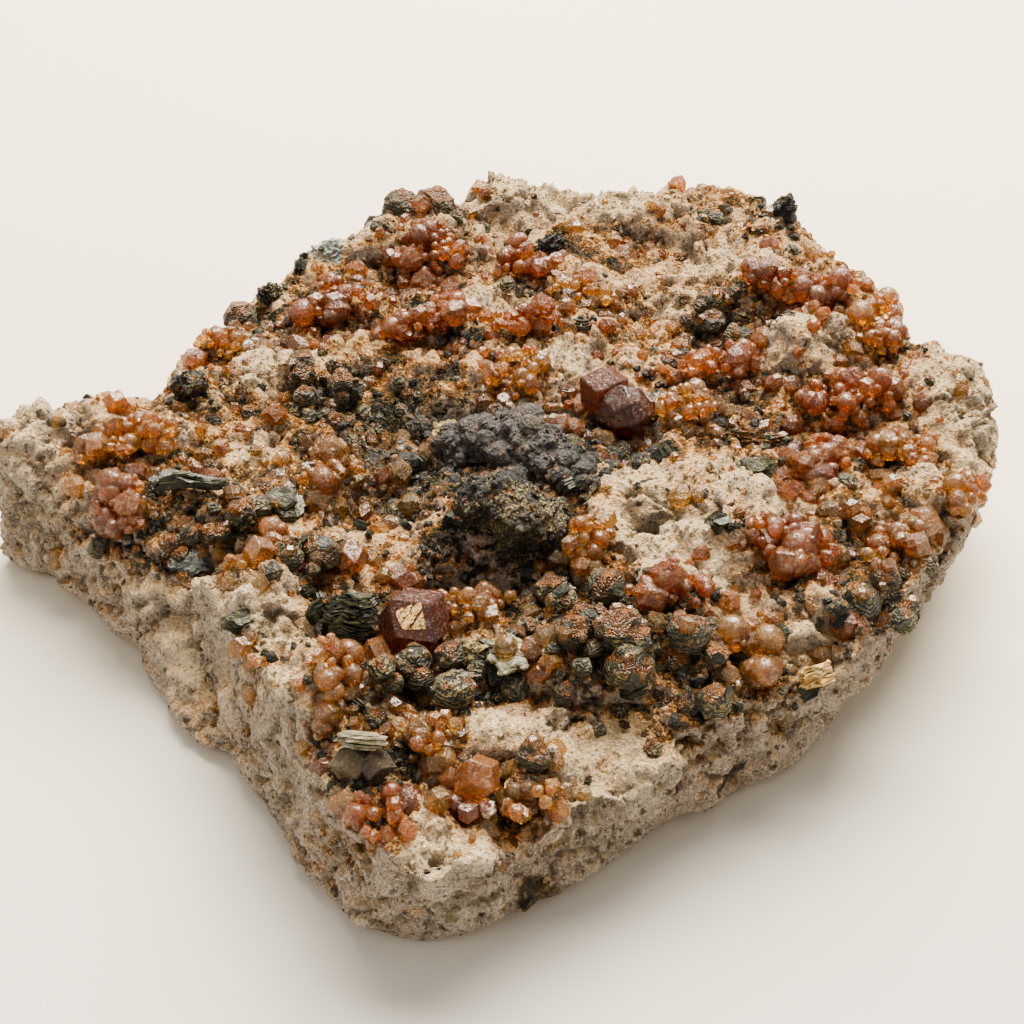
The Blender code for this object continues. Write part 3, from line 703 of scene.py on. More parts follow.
def makeGrowthTree():
    tree, given, out = newTree(
        "growth", "GeometryNodeTree",
        {
            "Geometry": "Geometry", "Forms": "Collection", "Material": "Material", "Where": ("String", "share"),
            "Spacing": 1.5 * mm, "Small": 0.6 * mm, "Large": 1.6 * mm, "Few Large": 2.0, "Sink": 0.3,
            "Flat": 1.0, "Lie": 0.0, "Tint From": 0.0, "Tint To": 1.0, "Seed": 1,
        },
        {"Geometry": "Geometry"},
    )
    share = named(tree, given["Where"])
    density = mathOf("DIVIDE", 3.0, times(given["Spacing"], given["Spacing"]))
    points = addNode(
        tree, "GeometryNodeDistributePointsOnFaces",
        {
            "Mesh": given["Geometry"], "Distance Min": given["Spacing"], "Density Max": density,
            "Density Factor": share, "Seed": given["Seed"],
        },
        distribute_method="POISSON",
    )
    dice = addNode(tree, "FunctionNodeRandomValue", {"Seed": mathOf("ADD", given["Seed"], 11)})
    chance = mathOf("POWER", dice.outputs[1], given["Few Large"])
    span = mathOf("SUBTRACT", given["Large"], given["Small"])
    size = timesPlus(chance, span, given["Small"])
    stored = storedAs(points.outputs["Points"], "size", size)
    size = named(tree, "size")
    sunk = times(times(size, given["Sink"]), -1.0)
    placed = offsetBy(stored, scaled(points.outputs["Normal"], sunk))
    forms = addNode(tree, "GeometryNodeCollectionInfo",
                    {"Collection": given["Forms"], "Separate Children": True, "Reset Children": True})
    spin = addNode(tree, "FunctionNodeRandomValue",
                   {1: (fullTurn,) * 3, "Seed": mathOf("ADD", given["Seed"], 23)},
                   data_type="FLOAT_VECTOR")
    turn = addNode(tree, "FunctionNodeEulerToRotation", {0: spin.outputs[0]})
    turn = addNode(tree, "FunctionNodeAlignRotationToVector",
                   {"Rotation": turn.outputs[0], "Factor": given["Lie"], "Vector": points.outputs["Normal"]})
    squat = addNode(tree, "ShaderNodeCombineXYZ", {0: size, 1: size, 2: times(size, given["Flat"])})
    grown = addNode(
        tree, "GeometryNodeInstanceOnPoints",
        {
            "Points": placed, "Instance": forms.outputs[0], "Pick Instance": True,
            "Rotation": turn.outputs[0], "Scale": squat.outputs[0],
        },
    )
    tintDice = addNode(tree, "FunctionNodeRandomValue",
                       {2: given["Tint From"], 3: given["Tint To"], "Seed": mathOf("ADD", given["Seed"], 37)})
    tinted = storedAs(grown.outputs[0], "tint", tintDice.outputs[1], domain="INSTANCE")
    real = joinNode("GeometryNodeRealizeInstances", {0: tinted}).outputs[0]
    coated = joinNode("GeometryNodeSetMaterial", {"Geometry": real, "Material": given["Material"]})
    tree.links.new(coated.outputs[0], out["Geometry"])
    return tree


growthTree = makeGrowthTree()


def grow(name, ground, values):
    # crystals or grains grown over the ground's mesh, as a plain mesh of their own
    made = bpy.data.objects.new(name, ground.data.copy())
    bpy.context.scene.collection.objects.link(made)
    growth = made.modifiers.new("growth", "NODES")
    growth.node_group = growthTree
    setInputs(growth, values)
    return applied(made)


def setShare(obj, name, values):
    layer = obj.data.attributes.get(name) or obj.data.attributes.new(name, "FLOAT", "POINT")
    layer.data.foreach_set("value", np.asarray(values, np.float32))


def pointsOf(obj):
    points = np.empty(len(obj.data.vertices) * 3, np.float32)
    obj.data.vertices.foreach_get("co", points)
    return points.reshape(-1, 3)


def normalsOf(obj):
    normals = np.empty(len(obj.data.vertices) * 3, np.float32)
    obj.data.vertex_normals.foreach_get("vector", normals)
    return normals.reshape(-1, 3)


# the rock

rock = {
    "voxel": 0.5 * mm,  # grain of its mesh
    "triangles": 194000,
    "softening": 8,  # rounds of smoothing over the solid's facets
    "knob": (3.9 * mm, 0.9 * mm),  # size and height
    "grain": (1.5 * mm, 0.40 * mm),
    "crumb": (0.8 * mm, 0.24 * mm),
    "pore": (2.1 * mm, 0.7 * mm),
    "crack": (9.0 * mm, 1.2 * mm),
    "ledge": (2.6 * mm, 0.55 * mm),
    "foot": 4.0 * mm,  # height over which the roughness starts, above the flat underside
}


dents = (  # hollows in the top, and humps below nought: x, y, half sizes and depth in mm
    (18.8, -18.2, 1.2, 1.1, 1.9), (19.2, -27.6, 1.0, 0.9, 1.4), (-1.5, -24.0, 2.6, 1.6, 2.6),
    (4.6, -37.3, 1.4, 1.2, 1.8),
    (-35.8, -20.2, 1.8, 1.3, 2.0), (15.2, 18.0, 1.6, 2.6, 2.0), (27, -33, 1.6, 1.2, 1.4),
    (43, 19, 6.0, 3.6, -1.2), (60, 6, 4.0, 7.0, -0.8), (-60, -0.5, 3.6, 3.4, -0.8), (24, -14, 2.6, 2.4, -1.0),
    (29, -25, 3.0, 2.6, -0.9), (15, -13, 2.4, 2.0, -0.8), (-29, 12, 4.2, 3.0, -0.9),
    (-22, -46, 2.2, 2.6, -0.8),
)


def makeRockTree():
    tree, given, out = newTree(
        "brokenRock", "GeometryNodeTree",
        {
            "Geometry": "Geometry", "Knob Size": 1.0, "Knob Height": 0.0, "Grain Size": 1.0,
            "Grain Height": 0.0, "Crumb Size": 1.0, "Crumb Height": 0.0, "Pore Size": 1.0,
            "Dent": ("String", "dent"), "Pore Depth": 0.0, "Crack Size": 1.0, "Ledge Size": 1.0,
            "Ledge Height": 0.0, "Crack Depth": 0.0, "Foot": 1.0,
        },
        {"Geometry": "Geometry"},
    )
    place = addNode(tree, "GeometryNodeInputPosition").outputs[0]
    rough = named(tree, "rough")
    normal = addNode(tree, "GeometryNodeInputNormal").outputs[0]
    height, steep = heightOf(place), heightOf(normal)
    wall = mapped(mathOf("ABSOLUTE", steep), 0.75, 0.35)

    def perSize(label):
        return mathOf("DIVIDE", 1.0, given[label])

    swell = joinNode("ShaderNodeTexNoise", {"Vector": place, "Scale": perSize("Knob Size"), "Detail": 2.0})
    swollen = vectorOf("ADD", place, scaled(swell.outputs["Color"], times(given["Knob Size"], 1.1)))
    inputs = {"Vector": swollen, "Scale": perSize("Knob Size"), "Smoothness": 0.3}
    lumps = joinNode("ShaderNodeTexVoronoi", inputs, feature="SMOOTH_F1")
    knob = mathOf("SUBTRACT", 0.42, lumps.outputs["Distance"])
    knob = timesPlus(mathOf("SUBTRACT", swell.outputs[0], 0.5), 0.8, knob)
    warp = joinNode("ShaderNodeTexNoise", {"Vector": place, "Scale": perSize("Grain Size"), "Detail": 1.0})
    moved = vectorOf("ADD", place, scaled(warp.outputs["Color"], times(given["Grain Size"], 0.8)))
    inputs = {"Vector": moved, "Scale": perSize("Grain Size"), "Smoothness": 0.35}
    cells = joinNode("ShaderNodeTexVoronoi", inputs, feature="SMOOTH_F1")
    grain = mathOf("SUBTRACT", 0.45, cells.outputs["Distance"])
    crumb = mathOf("SUBTRACT", noiseOf(place, perSize("Crumb Size"), 2.0, 0.6), 0.5)
    hole = mapped(noiseOf(place, perSize("Pore Size"), 2.0, 0.6, 0.6), 0.60, 0.72)
    ridge = mathOf("ABSOLUTE", mathOf("SUBTRACT", noiseOf(place, perSize("Crack Size"), 3.0, 0.6), 0.5))
    crack = mapped(ridge, 0.035, 0.0)
    lift = times(times(knob, given["Knob Height"]), mapped(rough, 0, 1, 2.2, 2.8))
    lift = times(lift, mapped(wall, 0, 1, 1.0, 0.5))
    lift = mathOf("SUBTRACT", lift, times(crack, given["Crack Depth"]))
    calmer = mapped(mathOf("MAXIMUM", rough, times(wall, 0.8)), 0, 1, 2.0, 0.9)
    for field, label, finer in ((grain, "Grain Height", 2.1), (crumb, "Crumb Height", calmer)):
        lift = mathOf("ADD", lift, times(field, times(given[label], finer)))
    lift = mathOf("SUBTRACT", lift, times(hole, given["Pore Depth"]))
    layered = vectorOf("MULTIPLY", place, (1.0, 1.0, 3.4))
    ledge = mathOf("SUBTRACT", noiseOf(layered, perSize("Ledge Size"), 4.0, 0.65), 0.5)
    ledge = times(times(ledge, wall), times(given["Ledge Height"], 2.2))
    lift = mathOf("ADD", lift, ledge)
    lift = mathOf("SUBTRACT", lift, named(tree, given["Dent"]))
    fade = mapped(mathOf("DIVIDE", height, given["Foot"]), 0.1, 1.0, 0.15, 1.0)
    fade = times(fade, mathOf("GREATER_THAN", height, 0.00001))
    # hollow marks the pits and cracks, and valley the low places between knobs; the material darkens both,
    # partly as painted shade
    hollow = mathOf("MAXIMUM", hole, times(crack, 0.7))
    moved = offsetBy(given["Geometry"], scaled(normal, times(lift, fade)))
    moved = storedAs(moved, "valley", mapped(lumps.outputs["Distance"], 0.34, 0.72))
    moved = storedAs(moved, "pore", hollow)
    tree.links.new(storedAs(moved, "wall", wall), out["Geometry"])
    return tree


def spread(points, x, y, halfX, halfY):
    # 1 inside an ellipse on the top, falling to 0 outside it
    away = ((points[:, 0] - x) / halfX) ** 2 + ((points[:, 1] - y) / halfY) ** 2
    return 1 / (1 + away**3)


def zonedOf(points, zones):
    reach = np.zeros(len(points))
    for x, y, halfX, halfY, *strength in zones:
        part = spread(points, x * mm, y * mm, halfX * mm, halfY * mm)
        reach = np.maximum(reach, part * (strength[0] if strength else 1))
    return reach


bareZones = (  # pale rock with hardly a garnet on it
    (-60, -2, 8, 7), (-30, 12, 6, 4), (-27, 44, 6, 4), (4, 59, 10, 6), (43, 18, 7, 4), (62, 5, 6, 11),
    (-34, -27, 5, 5), (-26, -33, 5, 5), (-21, -47, 4, 6), (-3, -63, 5, 8), (15, -54, 11, 4), (20, -18, 8, 6),
    (26, -28, 5, 5), (36, -36, 4, 3), (10, 15, 4, 4), (1, 28, 6, 5), (20, 56, 8, 4), (54, -12, 4, 5),
    (34, 42, 6, 5), (-31, -3, 5, 3), (12, -48, 5, 3), (-44, -31, 7, 5), (28, -10, 5, 4), (28, 31, 4, 4),
    (-38, -23, 6, 3), (-32.5, -20, 2.5, 3), (22, -23, 6, 4), (18, -11, 6, 4), (31, -13, 6, 5),
    (6, -47, 9, 3.5),
)


def flatUnderside(obj):
    # the underside's many small faces become one
    bm = bmesh.new()
    bm.from_mesh(obj.data)
    for v in bm.verts:
        v.co.z = max(v.co.z, 0)
    low = [face for face in bm.faces if all(v.co.z < onFloor for v in face.verts)]
    bmesh.ops.delete(bm, geom=low, context="FACES")
    rim = [edge for edge in bm.edges if edge.is_boundary]
    for edge in rim:
        for v in edge.verts:
            v.co.z = 0
    bmesh.ops.contextual_create(bm, geom=rim)
    bm.to_mesh(obj.data)
    bm.free()


def makeRock():
    # dents and humps are kept on the mesh before the roughness goes on
    obj = remeshed(mergedCopy("matrix", "rock"), rock["voxel"])
    soft = obj.modifiers.new("soft", "SMOOTH")
    soft.iterations = rock["softening"]
    applied(obj)
    points = pointsOf(obj)
    depth = np.zeros(len(points))
    for x, y, halfX, halfY, deep in dents:
        depth += deep * mm * spread(points, x * mm, y * mm, halfX * mm, halfY * mm)
    setShare(obj, "dent", depth * (points[:, 2] > topFrom))
    setShare(obj, "rough", zonedOf(points, bareZones) * (points[:, 2] > topFrom))
    broken = obj.modifiers.new("broken", "NODES")
    broken.node_group = makeRockTree()
    values = {"Foot": rock["foot"]}
    for key in ("knob", "grain", "crumb", "ledge"):
        values[f"{key.title()} Size"], values[f"{key.title()} Height"] = rock[key]
    values["Pore Size"], values["Pore Depth"] = rock["pore"]
    values["Crack Size"], values["Crack Depth"] = rock["crack"]
    setInputs(broken, values)
    applied(obj)
    flatUnderside(obj)
    obj = thinned(obj, rock["triangles"])
    for vertex in obj.data.vertices:
        vertex.co.z = max(vertex.co.z, 0)
    return dressed(obj, rockMaterial)


rockPiece = makeRock()
print("rock:", len(rockPiece.data.polygons), "faces")


# the patches' places, and where small garnets and grains grow

nudges = {  # patches that lie a little off their solid: shift in mm, and stretch about its middle
    "garnets_front_knob": ((-1.5, 1.7, -0.3), (0.58, 0.85, 0.9)),
    "garnets_front_left": ((2.4, 0.3, -0.2), (0.7, 1.0, 1.0)),
    "garnets_lower_left": ((1.6, -0.8, -1.0), (0.66, 0.95, 0.85)),
    "garnets_front_dim": ((-1.8, -2.0, -0.5), (0.8, 0.9, 0.9)),
    "garnets_front_edge": ((-3.6, 0.3, 0.1), (0.85, 0.8, 0.9)),
    "garnets_main_flank": ((-1.6, -0.5, -1.0), (1.2, 1.0, 0.75)),
    "garnets_back_left_red": ((0.0, -1.4, -1.2), (1.1, 1.0, 0.85)),
    "dark_quartz_back_corner": ((-0.6, -0.4, -0.6), (1.35, 1.35, 1.4)),
    "dark_quartz_front": ((0.2, -3.8, -0.7), (1.0, 1.2, 1.0)),
    "dark_quartz_back": ((0.0, -2.0, -1.3), (1.0, 1.15, 1.0)),
}


def nudged(obj, name, lean=0.0):
    # lean pushes the right-hand part of a piece forward
    if name in nudges:
        shift, stretch = nudges[name]
        low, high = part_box(name)
        middle = (low + high) / 2
        for vertex in obj.data.vertices:
            away = vertex.co - middle
            vertex.co = middle + Vector(a * b for a, b in zip(away, stretch)) + Vector(shift) * mm
            vertex.co.y -= lean * max(0, away.x + 4 * mm)
    return obj


def middleOf(name):
    low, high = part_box(name)
    shift, stretch = nudges.get(name, ((0, 0, 0), (1, 1, 1)))
    return (low + high) / 2 + Vector(shift) * mm, Vector(a * b / 2 for a, b in zip(high - low, stretch))


blots = (  # dark mineral in the walls: x, y, z and half sizes in mm
    (6, -61, 4, 3.0, 4, 4), (35.5, -43, 8, 1.6, 4, 1.2), (-52, -22, 7, 2.4, 4, 2.2),
    (-34, -42, 5, 2.6, 4, 1.8),
    (-26, -54, 7, 2, 4, 1.6), (28, -47, 5, 3.0, 4, 1.4), (48, -35, 12, 1.8, 4, 1.6),
    (-44, -32, 9, 1.6, 4, 1.6),
    (-18, -61, 3, 3.0, 4, 1.6), (17, -55, 8, 1.8, 4, 1.0), (44, 50, 9, 3, 4, 1.6), (-53, 8, 9, 2.2, 4, 1.8),
    (-10, 60, 8, 3, 4, 2.2), (62, 16, 8, 4, 3, 2.0), (22, 62, 11, 2.6, 4, 1.4), (31, -45, 11, 1.5, 4, 1.0),
)
veins = (  # yellow-green cracks along the walls: from and to, and half width, in mm
    ((-9, -65, 2.0), (2, -62, 10), 0.6), ((2, -62, 10), (10, -57, 14), 0.5),
    ((-48, -27, 3), (-40, -34, 9), 0.5),
    ((30, 61, 6), (44, 52, 10), 0.7), ((60, -10, 6), (64, 8, 10), 0.6),
)


def nearLine(points, start, end):
    start, end = np.array(start) * mm, np.array(end) * mm
    share = np.clip((points - start) @ (end - start) / ((end - start) @ (end - start)), 0, 1)
    return np.linalg.norm(points - start - share[:, None] * (end - start), axis=1)


richZones = (  # crowds of small garnets: x, y, half sizes in mm of each ellipse on the top, and strength
    (-43, -3, 15, 8, 1.0), (-38, -18, 13, 6, 1.0), (-22, 2, 15, 10, 0.7), (-8, -10, 9, 6, 0.5),
    (-8, -29, 10, 7, 1.0),
    (-14, 35, 15, 13, 0.9), (-6, -52, 11, 7, 0.6), (15, 3, 15, 9, 0.9), (30, 20, 17, 13, 0.8),
    (49, 27, 13, 13, 0.9),
    (47, 4, 11, 8, 1.0), (44, -24, 15, 10, 1.0), (15, -38, 17, 8, 0.9), (42, -9, 10, 8, 0.8),
    (4, 34, 12, 8, 0.5),
    (30, 50, 15, 8, 0.35), (50, 42, 6, 8, 0.5), (-17, -45, 6, 9, 0.8), (-34, 18, 12, 8, 0.7),
)
mixZones = (  # orange-brown granular rock with dark minerals in it
    (-18, -6, 16, 9, 0.9), (-12, 8, 15, 8, 1.0), (-30, 6, 12, 6, 0.7), (3, -6, 17, 11, 1.0),
    (2, -18, 11, 9, 0.9),
    (-6, -30, 13, 6, 0.8), (-8, -42, 14, 6, 0.8), (14, -38, 17, 9, 0.8), (-36, -19, 13, 5, 0.8),
    (18, -9, 8, 6, 0.6),
    (30, 8, 14, 9, 0.7), (42, -22, 14, 9, 0.7), (-14, 33, 16, 12, 0.7), (36, -3, 9, 5, 0.7),
    (38, -33, 8, 5, 0.6),
    (32, 30, 16, 8, 0.6), (15, 48, 10, 6, 0.5), (36, 54, 13, 7, 0.45), (48, 38, 8, 8, 0.5),
    (-35, 24, 10, 6, 0.6),
    (4, 22, 12, 5, 0.4), (-42, -6, 14, 7, 0.6), (24, -7, 10, 5, 0.8), (20, -26, 4, 3, 0.4),
    (27, -17, 4, 3, 0.5),
)
darkZones = (  # crowds of dark grains
    (3, -5, 17, 11, 0.9), (2, -17, 11, 9, 0.9), (-13, -34, 6, 5, 0.7), (-5, -42, 14, 5, 0.9),
    (15, -37, 14, 8, 0.8),
    (-37, -17, 10, 3, 0.3), (-42, 10, 8, 5, 0.5), (-18, -7, 10, 7, 0.25), (-9, 5, 15, 8, 0.35),
    (33, -2, 7, 4, 0.5),
    (40, -33, 7, 5, 0.8), (26, 10, 9, 6, 0.5), (46, 56, 6, 4, 0.8), (-27, -42, 5, 5, 0.6),
    (-38, 26, 7, 5, 0.5),
    (30, -20, 5, 4, 0.6), (9, 30, 6, 6, 0.5), (-14, 50, 7, 4, 0.6), (30, -52, 6, 5, 0.5),
)


skirtZones = (  # lumps of dark quartz that tie the two large ones together
    (3, -6, 15, 7, 0.9), (16, -4, 5, 5, 0.8), (-10, -1, 5, 5, 0.6), (1, -20, 8, 4, 0.6), (2, -28, 3, 3, 0.9),
)


def growthShares(obj):
    points, normals = pointsOf(obj), normalsOf(obj)
    top = np.clip((normals[:, 2] - 0.25) / 0.35, 0, 1) * np.clip((points[:, 2] - 11 * mm) / (3 * mm), 0, 1)
    near = np.zeros(len(points))
    tints = {name: np.zeros(len(points)) for name in ("garnet_orange", "garnet_red", "garnet_brown")}
    for name in garnetNodes:
        middle, half = middleOf(name)
        near = np.maximum(near, spread(points, middle.x, middle.y, half.x + 1.2 * mm, half.y + 1.2 * mm))
        tints[slotOf[name]] += spread(points, middle.x, middle.y, half.x + 4 * mm, half.y + 4 * mm)
    bare = zonedOf(points, bareZones) * (1 - near)
    rich = np.maximum(near, 0.75 * zonedOf(points, richZones))
    crowd = np.clip(0.07 + rich * (1 - 0.95 * bare), 0, 1) * top
    dark = np.zeros(len(points))
    for name in quartzNodes + micaNodes:
        middle, half = middleOf(name)
        dark = np.maximum(dark, spread(points, middle.x, middle.y, half.x + 2 * mm, half.y + 2 * mm))
    dark = np.maximum(dark, zonedOf(points, darkZones))
    mix = np.maximum(0.14 + 0.85 * zonedOf(points, mixZones), 0.85 * near)
    setShare(obj, "mix", np.clip(mix * (1 - 0.8 * bare), 0, 1) * top)
    total = sum(tints.values()) + 0.25
    for name, reach in tints.items():
        setShare(obj, name, crowd * (reach + 0.25 / len(tints)) / total)
    blot = np.zeros(len(points))
    for x, y, z, halfX, halfY, halfZ in blots:
        away = (points - np.array((x, y, z)) * mm) / (np.array((halfX, halfY, halfZ)) * mm)
        blot = np.maximum(blot, 1 / (1 + (away**2).sum(1) ** 3))
    vein = np.zeros(len(points))
    for start, end, half in veins:
        vein = np.maximum(vein, 1 / (1 + (nearLine(points, start, end) / (half * mm)) ** 4))
    setShare(obj, "bare", bare)
    setShare(obj, "blot", blot)
    setShare(obj, "vein", vein)
    setShare(obj, "dark", np.clip(0.04 + 0.85 * dark, 0, 1) * (1 - 0.95 * bare) * top)
    setShare(obj, "side", 0.8 * (1 - top) * np.clip((points[:, 2] - 1.5 * mm) / (2 * mm), 0, 1))
    setShare(obj, "pale", np.clip(0.25 + bare, 0, 1) * top)
    setShare(obj, "skirt", zonedOf(points, skirtZones) * top)


growthShares(rockPiece)
finished(rockPiece, "matrix", "matrix")


def growing(where, forms, material, spacing, small, large, fewLarge, sink, seed, flat=1.0, **more):
    # what the growth tree is given: lengths in mm
    return {
        "Where": where, "Forms": forms, "Material": material, "Spacing": spacing * mm, "Small": small * mm,
        "Large": large * mm, "Few Large": fewLarge, "Sink": sink, "Seed": seed, "Flat": flat, **more,
    }


smallGarnets = {  # spacing, smallest and largest in mm, how few are large, how deep they sit, seed
    "garnet_orange": (1.15, 0.45, 1.6, 2.6, 0.1, 3),
    "garnet_red": (1.7, 0.6, 1.8, 2.0, 0.1, 5),
    "garnet_brown": (1.7, 0.5, 1.6, 2.2, 0.1, 7),
}
for slotName, sizes in smallGarnets.items():
    values = growing(slotName, garnetForms, garnetMaterials[slotName], *sizes)
    piece = finished(grow(f"small_{slotName}", rockPiece, values), slotName)
    print(piece.name, len(piece.data.polygons), "faces")

darkMica = micaMaterials["dark"]
grains = {  # share, forms, material, then the same values as above, and how flat
    "dark_grains": growing("dark", grainForms, quartzMaterial, 1.1, 0.35, 1.1, 2.0, 0.2, 11, 0.7),
    "dark_books": growing("dark", bookForms, darkMica, 2.4, 0.6, 1.9, 2.6, 0.25, 17, 0.8),
    "dark_skirt": growing("skirt", noduleForms, quartzMaterial, 1.9, 0.7, 2.1, 1.6, 0.35, 23),
    "pale_grains": growing("pale", grainForms, rockMaterial, 0.68, 0.22, 0.62, 2.0, 0.4, 13, 0.8),
    "wall_grains": growing("side", grainForms, rockMaterial, 0.85, 0.2, 0.6, 2.0, 0.45, 31, 0.8),
}
for name, values in grains.items():
    slotName = "matrix" if values["Material"] is rockMaterial else "dark_quartz"
    piece = finished(grow(name, rockPiece, values), slotName)
    print(piece.name, len(piece.data.polygons), "faces")


# the garnet patches: small crystals crowded over the shape of each patch

crust = {  # each garnet colour: forms, spacing, smallest and largest in mm, how few are large, how deep
    "garnet_orange": (crustForms, 1.2, 0.55, 2.0, 2.8, 0.5),
    "garnet_red": (crustForms, 1.3, 0.6, 2.1, 2.6, 0.5),
    "garnet_brown": (noduleForms, 2.5, 1.0, 2.9, 1.4, 0.7),
}
largest = {  # patches of smaller or larger crystals, in mm
    "garnets_front_edge": 1.2, "garnets_front_left": 1.6, "garnets_centre": 1.5, "garnets_lens": 1.7,
    "garnets_left_rim_red": 2.0, "garnets_lower_left": 1.7, "garnets_main_flank": 1.5,
    "garnets_right_band": 1.7,
    "garnets_front_knob": 1.7, "garnets_far_right": 1.4, "garnets_right_upper": 1.6, "garnets_front_dim": 1.9,
    "garnets_front_row": 1.6, "garnets_left_brown": 2.2, "garnets_left_hollow": 2.4,
    "garnets_dark_front": 2.4,
}
wrappings = {  # how much of each brown patch is wrapped in mica, from and to
    "garnets_dark_mass": (0.1, 1.0), "garnets_dark_front": (0.1, 0.9), "garnets_olive_mass": (0.0, 0.7),
    "garnets_left_brown": (0.0, 0.3), "garnets_front_dim": (0.0, 0.6), "garnets_left_hollow": (0.0, 0.3),
    "garnets_mottled_left": (0.0, 0.6),
}

# the large crystals: offset from the middle of the solid and radius in mm, form, facing direction and spin
gems = {
    "garnet_main": ((0.5, -0.5, -0.2, 3.9, "rhombs", (0.02, -0.66, 0.75), 0.75, 1.0),),
    "garnet_front": (
        (0.7, 0.9, 0.0, 2.35, "rhombs", (0.2, -0.5, 0.84), 0.5, 0.35),
        (-2.0, 1.3, -0.6, 1.2, "rhombs", (0.4, -0.3, 0.8), 0.2, 0.0),
        (-1.4, -1.0, -1.5, 1.1, "kites", (-0.3, -0.3, 0.8), 0.2, 0.9),
        (-0.2, -2.2, -1.6, 1.2, "rhombs", (0, 0, 1), 0.9, 1.0),
        (1.7, -1.7, -1.6, 1.0, "kites", (0, 0, 1), 0.4, 0.8),
        (-2.3, -0.3, -1.4, 0.8, "kites", (0, 0, 1), 0.4, 0.2),
    ),
    "garnets_centre_pair": (
        (-1.2, 1.6, 0.8, 3.4, "rhombs", (-0.25, -0.35, 0.9), 0.6, 0.7),
        (1.2, -1.6, -0.2, 3.6, "kites", (0.1, -0.6, 0.8), 0.2, 1.0),
        (3.2, 0.8, -1.0, 2.2, "rhombs", (0.3, -0.2, 0.9), 0.9, 0.6),
    ),
    "garnets_back_left_peak": (
        (-2.8, -0.6, -1.6, 3.1, "nodule", (-0.1, -0.5, 0.85), 0.1, 0.35),
        (2.2, -0.9, -1.2, 3.4, "nodule", (0.1, -0.6, 0.75), 0.7, 0.0),
        (-0.2, -2.2, -2.6, 2.0, "nodule", (0.0, -0.7, 0.7), 0.4, 0.2),
        (5.6, -1.2, -2.4, 1.9, "kites", (0, 0, 1), 0.4, 0.0),
        (-3.6, -2.6, -2.6, 1.5, "nodule", (0, 0, 1), 0.4, 0.9),
    ),
}


def gemMesh(radius, form, facing, spin, middle, seed):
    body = noduleBody(seed) if form == "nodule" else softened(crystalBody(form == "kites", seed), 0.035)
    mesh = meshOf("gem", body)
    facing = Vector(facing).normalized()
    toFace = Vector((1, 1, 0)).rotation_difference(facing).to_matrix().to_4x4()
    turn = Matrix.Rotation(spin, 4, facing) @ toFace
    mesh.transform(Matrix.Translation(middle) @ turn @ Matrix.Scale(radius * mm, 4))
    return mesh


paintedGlint = {  # the golden plate on the main garnet, which carries a painted reflection of a warm light: corners across and up its front, and where that is cut, in mm
    "corners": ((-2.05, 1.15), (0.85, 2.0), (1.4, -0.85), (-1.05, -0.95)),
    "cut": 2.95,
}


def addPaintedGlint(bm, middle, facing):
    facing = Vector(facing).normalized()
    front = middle + facing * paintedGlint["cut"] * mm
    cutAway(bm, front, facing)
    across = (Vector((1, 0, 0)) - facing * facing.x).normalized()
    up = facing.cross(across)
    rings = []
    for level in (-0.4, 0.05):
        spots = [front + (across * a + up * b + facing * level) * mm for a, b in paintedGlint["corners"]]
        rings.append([bm.verts.new(spot) for spot in spots])
    faces = [bm.faces.new(rings[0]), bm.faces.new(rings[1][::-1])]
    for a in range(4):
        b = (a + 1) % 4
        faces.append(bm.faces.new((rings[0][b], rings[0][a], rings[1][a], rings[1][b])))
    for face in faces:
        face.material_index = 1


def makeGems(name, material):
    middle = boxMiddle(name)
    bm = bmesh.new()
    tint = bm.verts.layers.float.new("tint")
    for index, (x, y, z, radius, form, facing, spin, tone) in enumerate(gems[name]):
        spot = middle + Vector((x, y, z)) * mm
        known = addedTo(bm, gemMesh(radius, form, facing, spin, spot, len(name) + index))
        if name == "garnet_main":
            # the main garnet gets the plate with the painted reflection
            addPaintedGlint(bm, spot, facing)
        toned(bm, known, tint, tone)
    bmesh.ops.recalc_face_normals(bm, faces=bm.faces)
    looks = (material, paintedGlintMaterial) if name == "garnet_main" else (material,)
    return finished(objectOf(meshOf(f"gems_{name}", bm), *looks), slotOf[name], name)


# single beads here and there: x, y and radius in mm, tone
beads = {
    "garnet_orange": (
        (-25.2, -29.9, 1.25, 0.2), (-25.9, -40.4, 1.3, 0.3), (-55.9, -11.4, 1.5, 0.1),
        (7.6, -54.3, 1.15, 0.1),
        (9.8, -54.5, 0.9, 0.0), (1.7, -38.2, 1.0, 0.0), (13.3, -19.2, 1.5, 0.2), (-43.5, -15.0, 2.0, 0.4),
        (-51.4, -10.4, 1.4, 0.5), (-15.5, -22.5, 1.3, 0.2), (57, -13, 1.7, 0.3), (60.0, -8, 1.5, 0.2),
        (-27.2, -36.6, 1.2, 0.3), (-28.2, -35.8, 1.0, 0.1), (-26.3, -35.6, 0.9, 0.5),
        (-26.1, -14.0, 0.6, 0.0, 1.5),
        (-12.2, -25.6, 1.2, 0.1), (-4.3, -52.4, 1.2, 0.1), (14.2, 33.6, 1.4, 0.0), (22.5, -15.5, 1.4, 0.2),
    ),
    "garnet_red": (
        (-16.3, -24.2, 2.1, 0.5), (-9.4, -25.0, 1.7, 0.6), (-21.2, -22.9, 2.2, 1.0), (-49.1, 4.1, 1.7, 0.5),
        (-41, 16.0, 1.7, 0.6), (4.6, -39.4, 1.6, 0.5), (16.0, -33.4, 1.4, 0.3), (13.0, 36.0, 2.0, 0.4),
    ),
    "garnet_brown": ((3.9, -54.0, 1.8, 0.2), (-36.5, 27.6, 2.4, 0.1), (24.0, -35.4, 1.6, 0.4)),
}


skyHigh = 60  # mm, above everything
rockTree = BVHTree.FromPolygons(
    [v.co for v in rockPiece.data.vertices], [f.vertices for f in rockPiece.data.polygons])


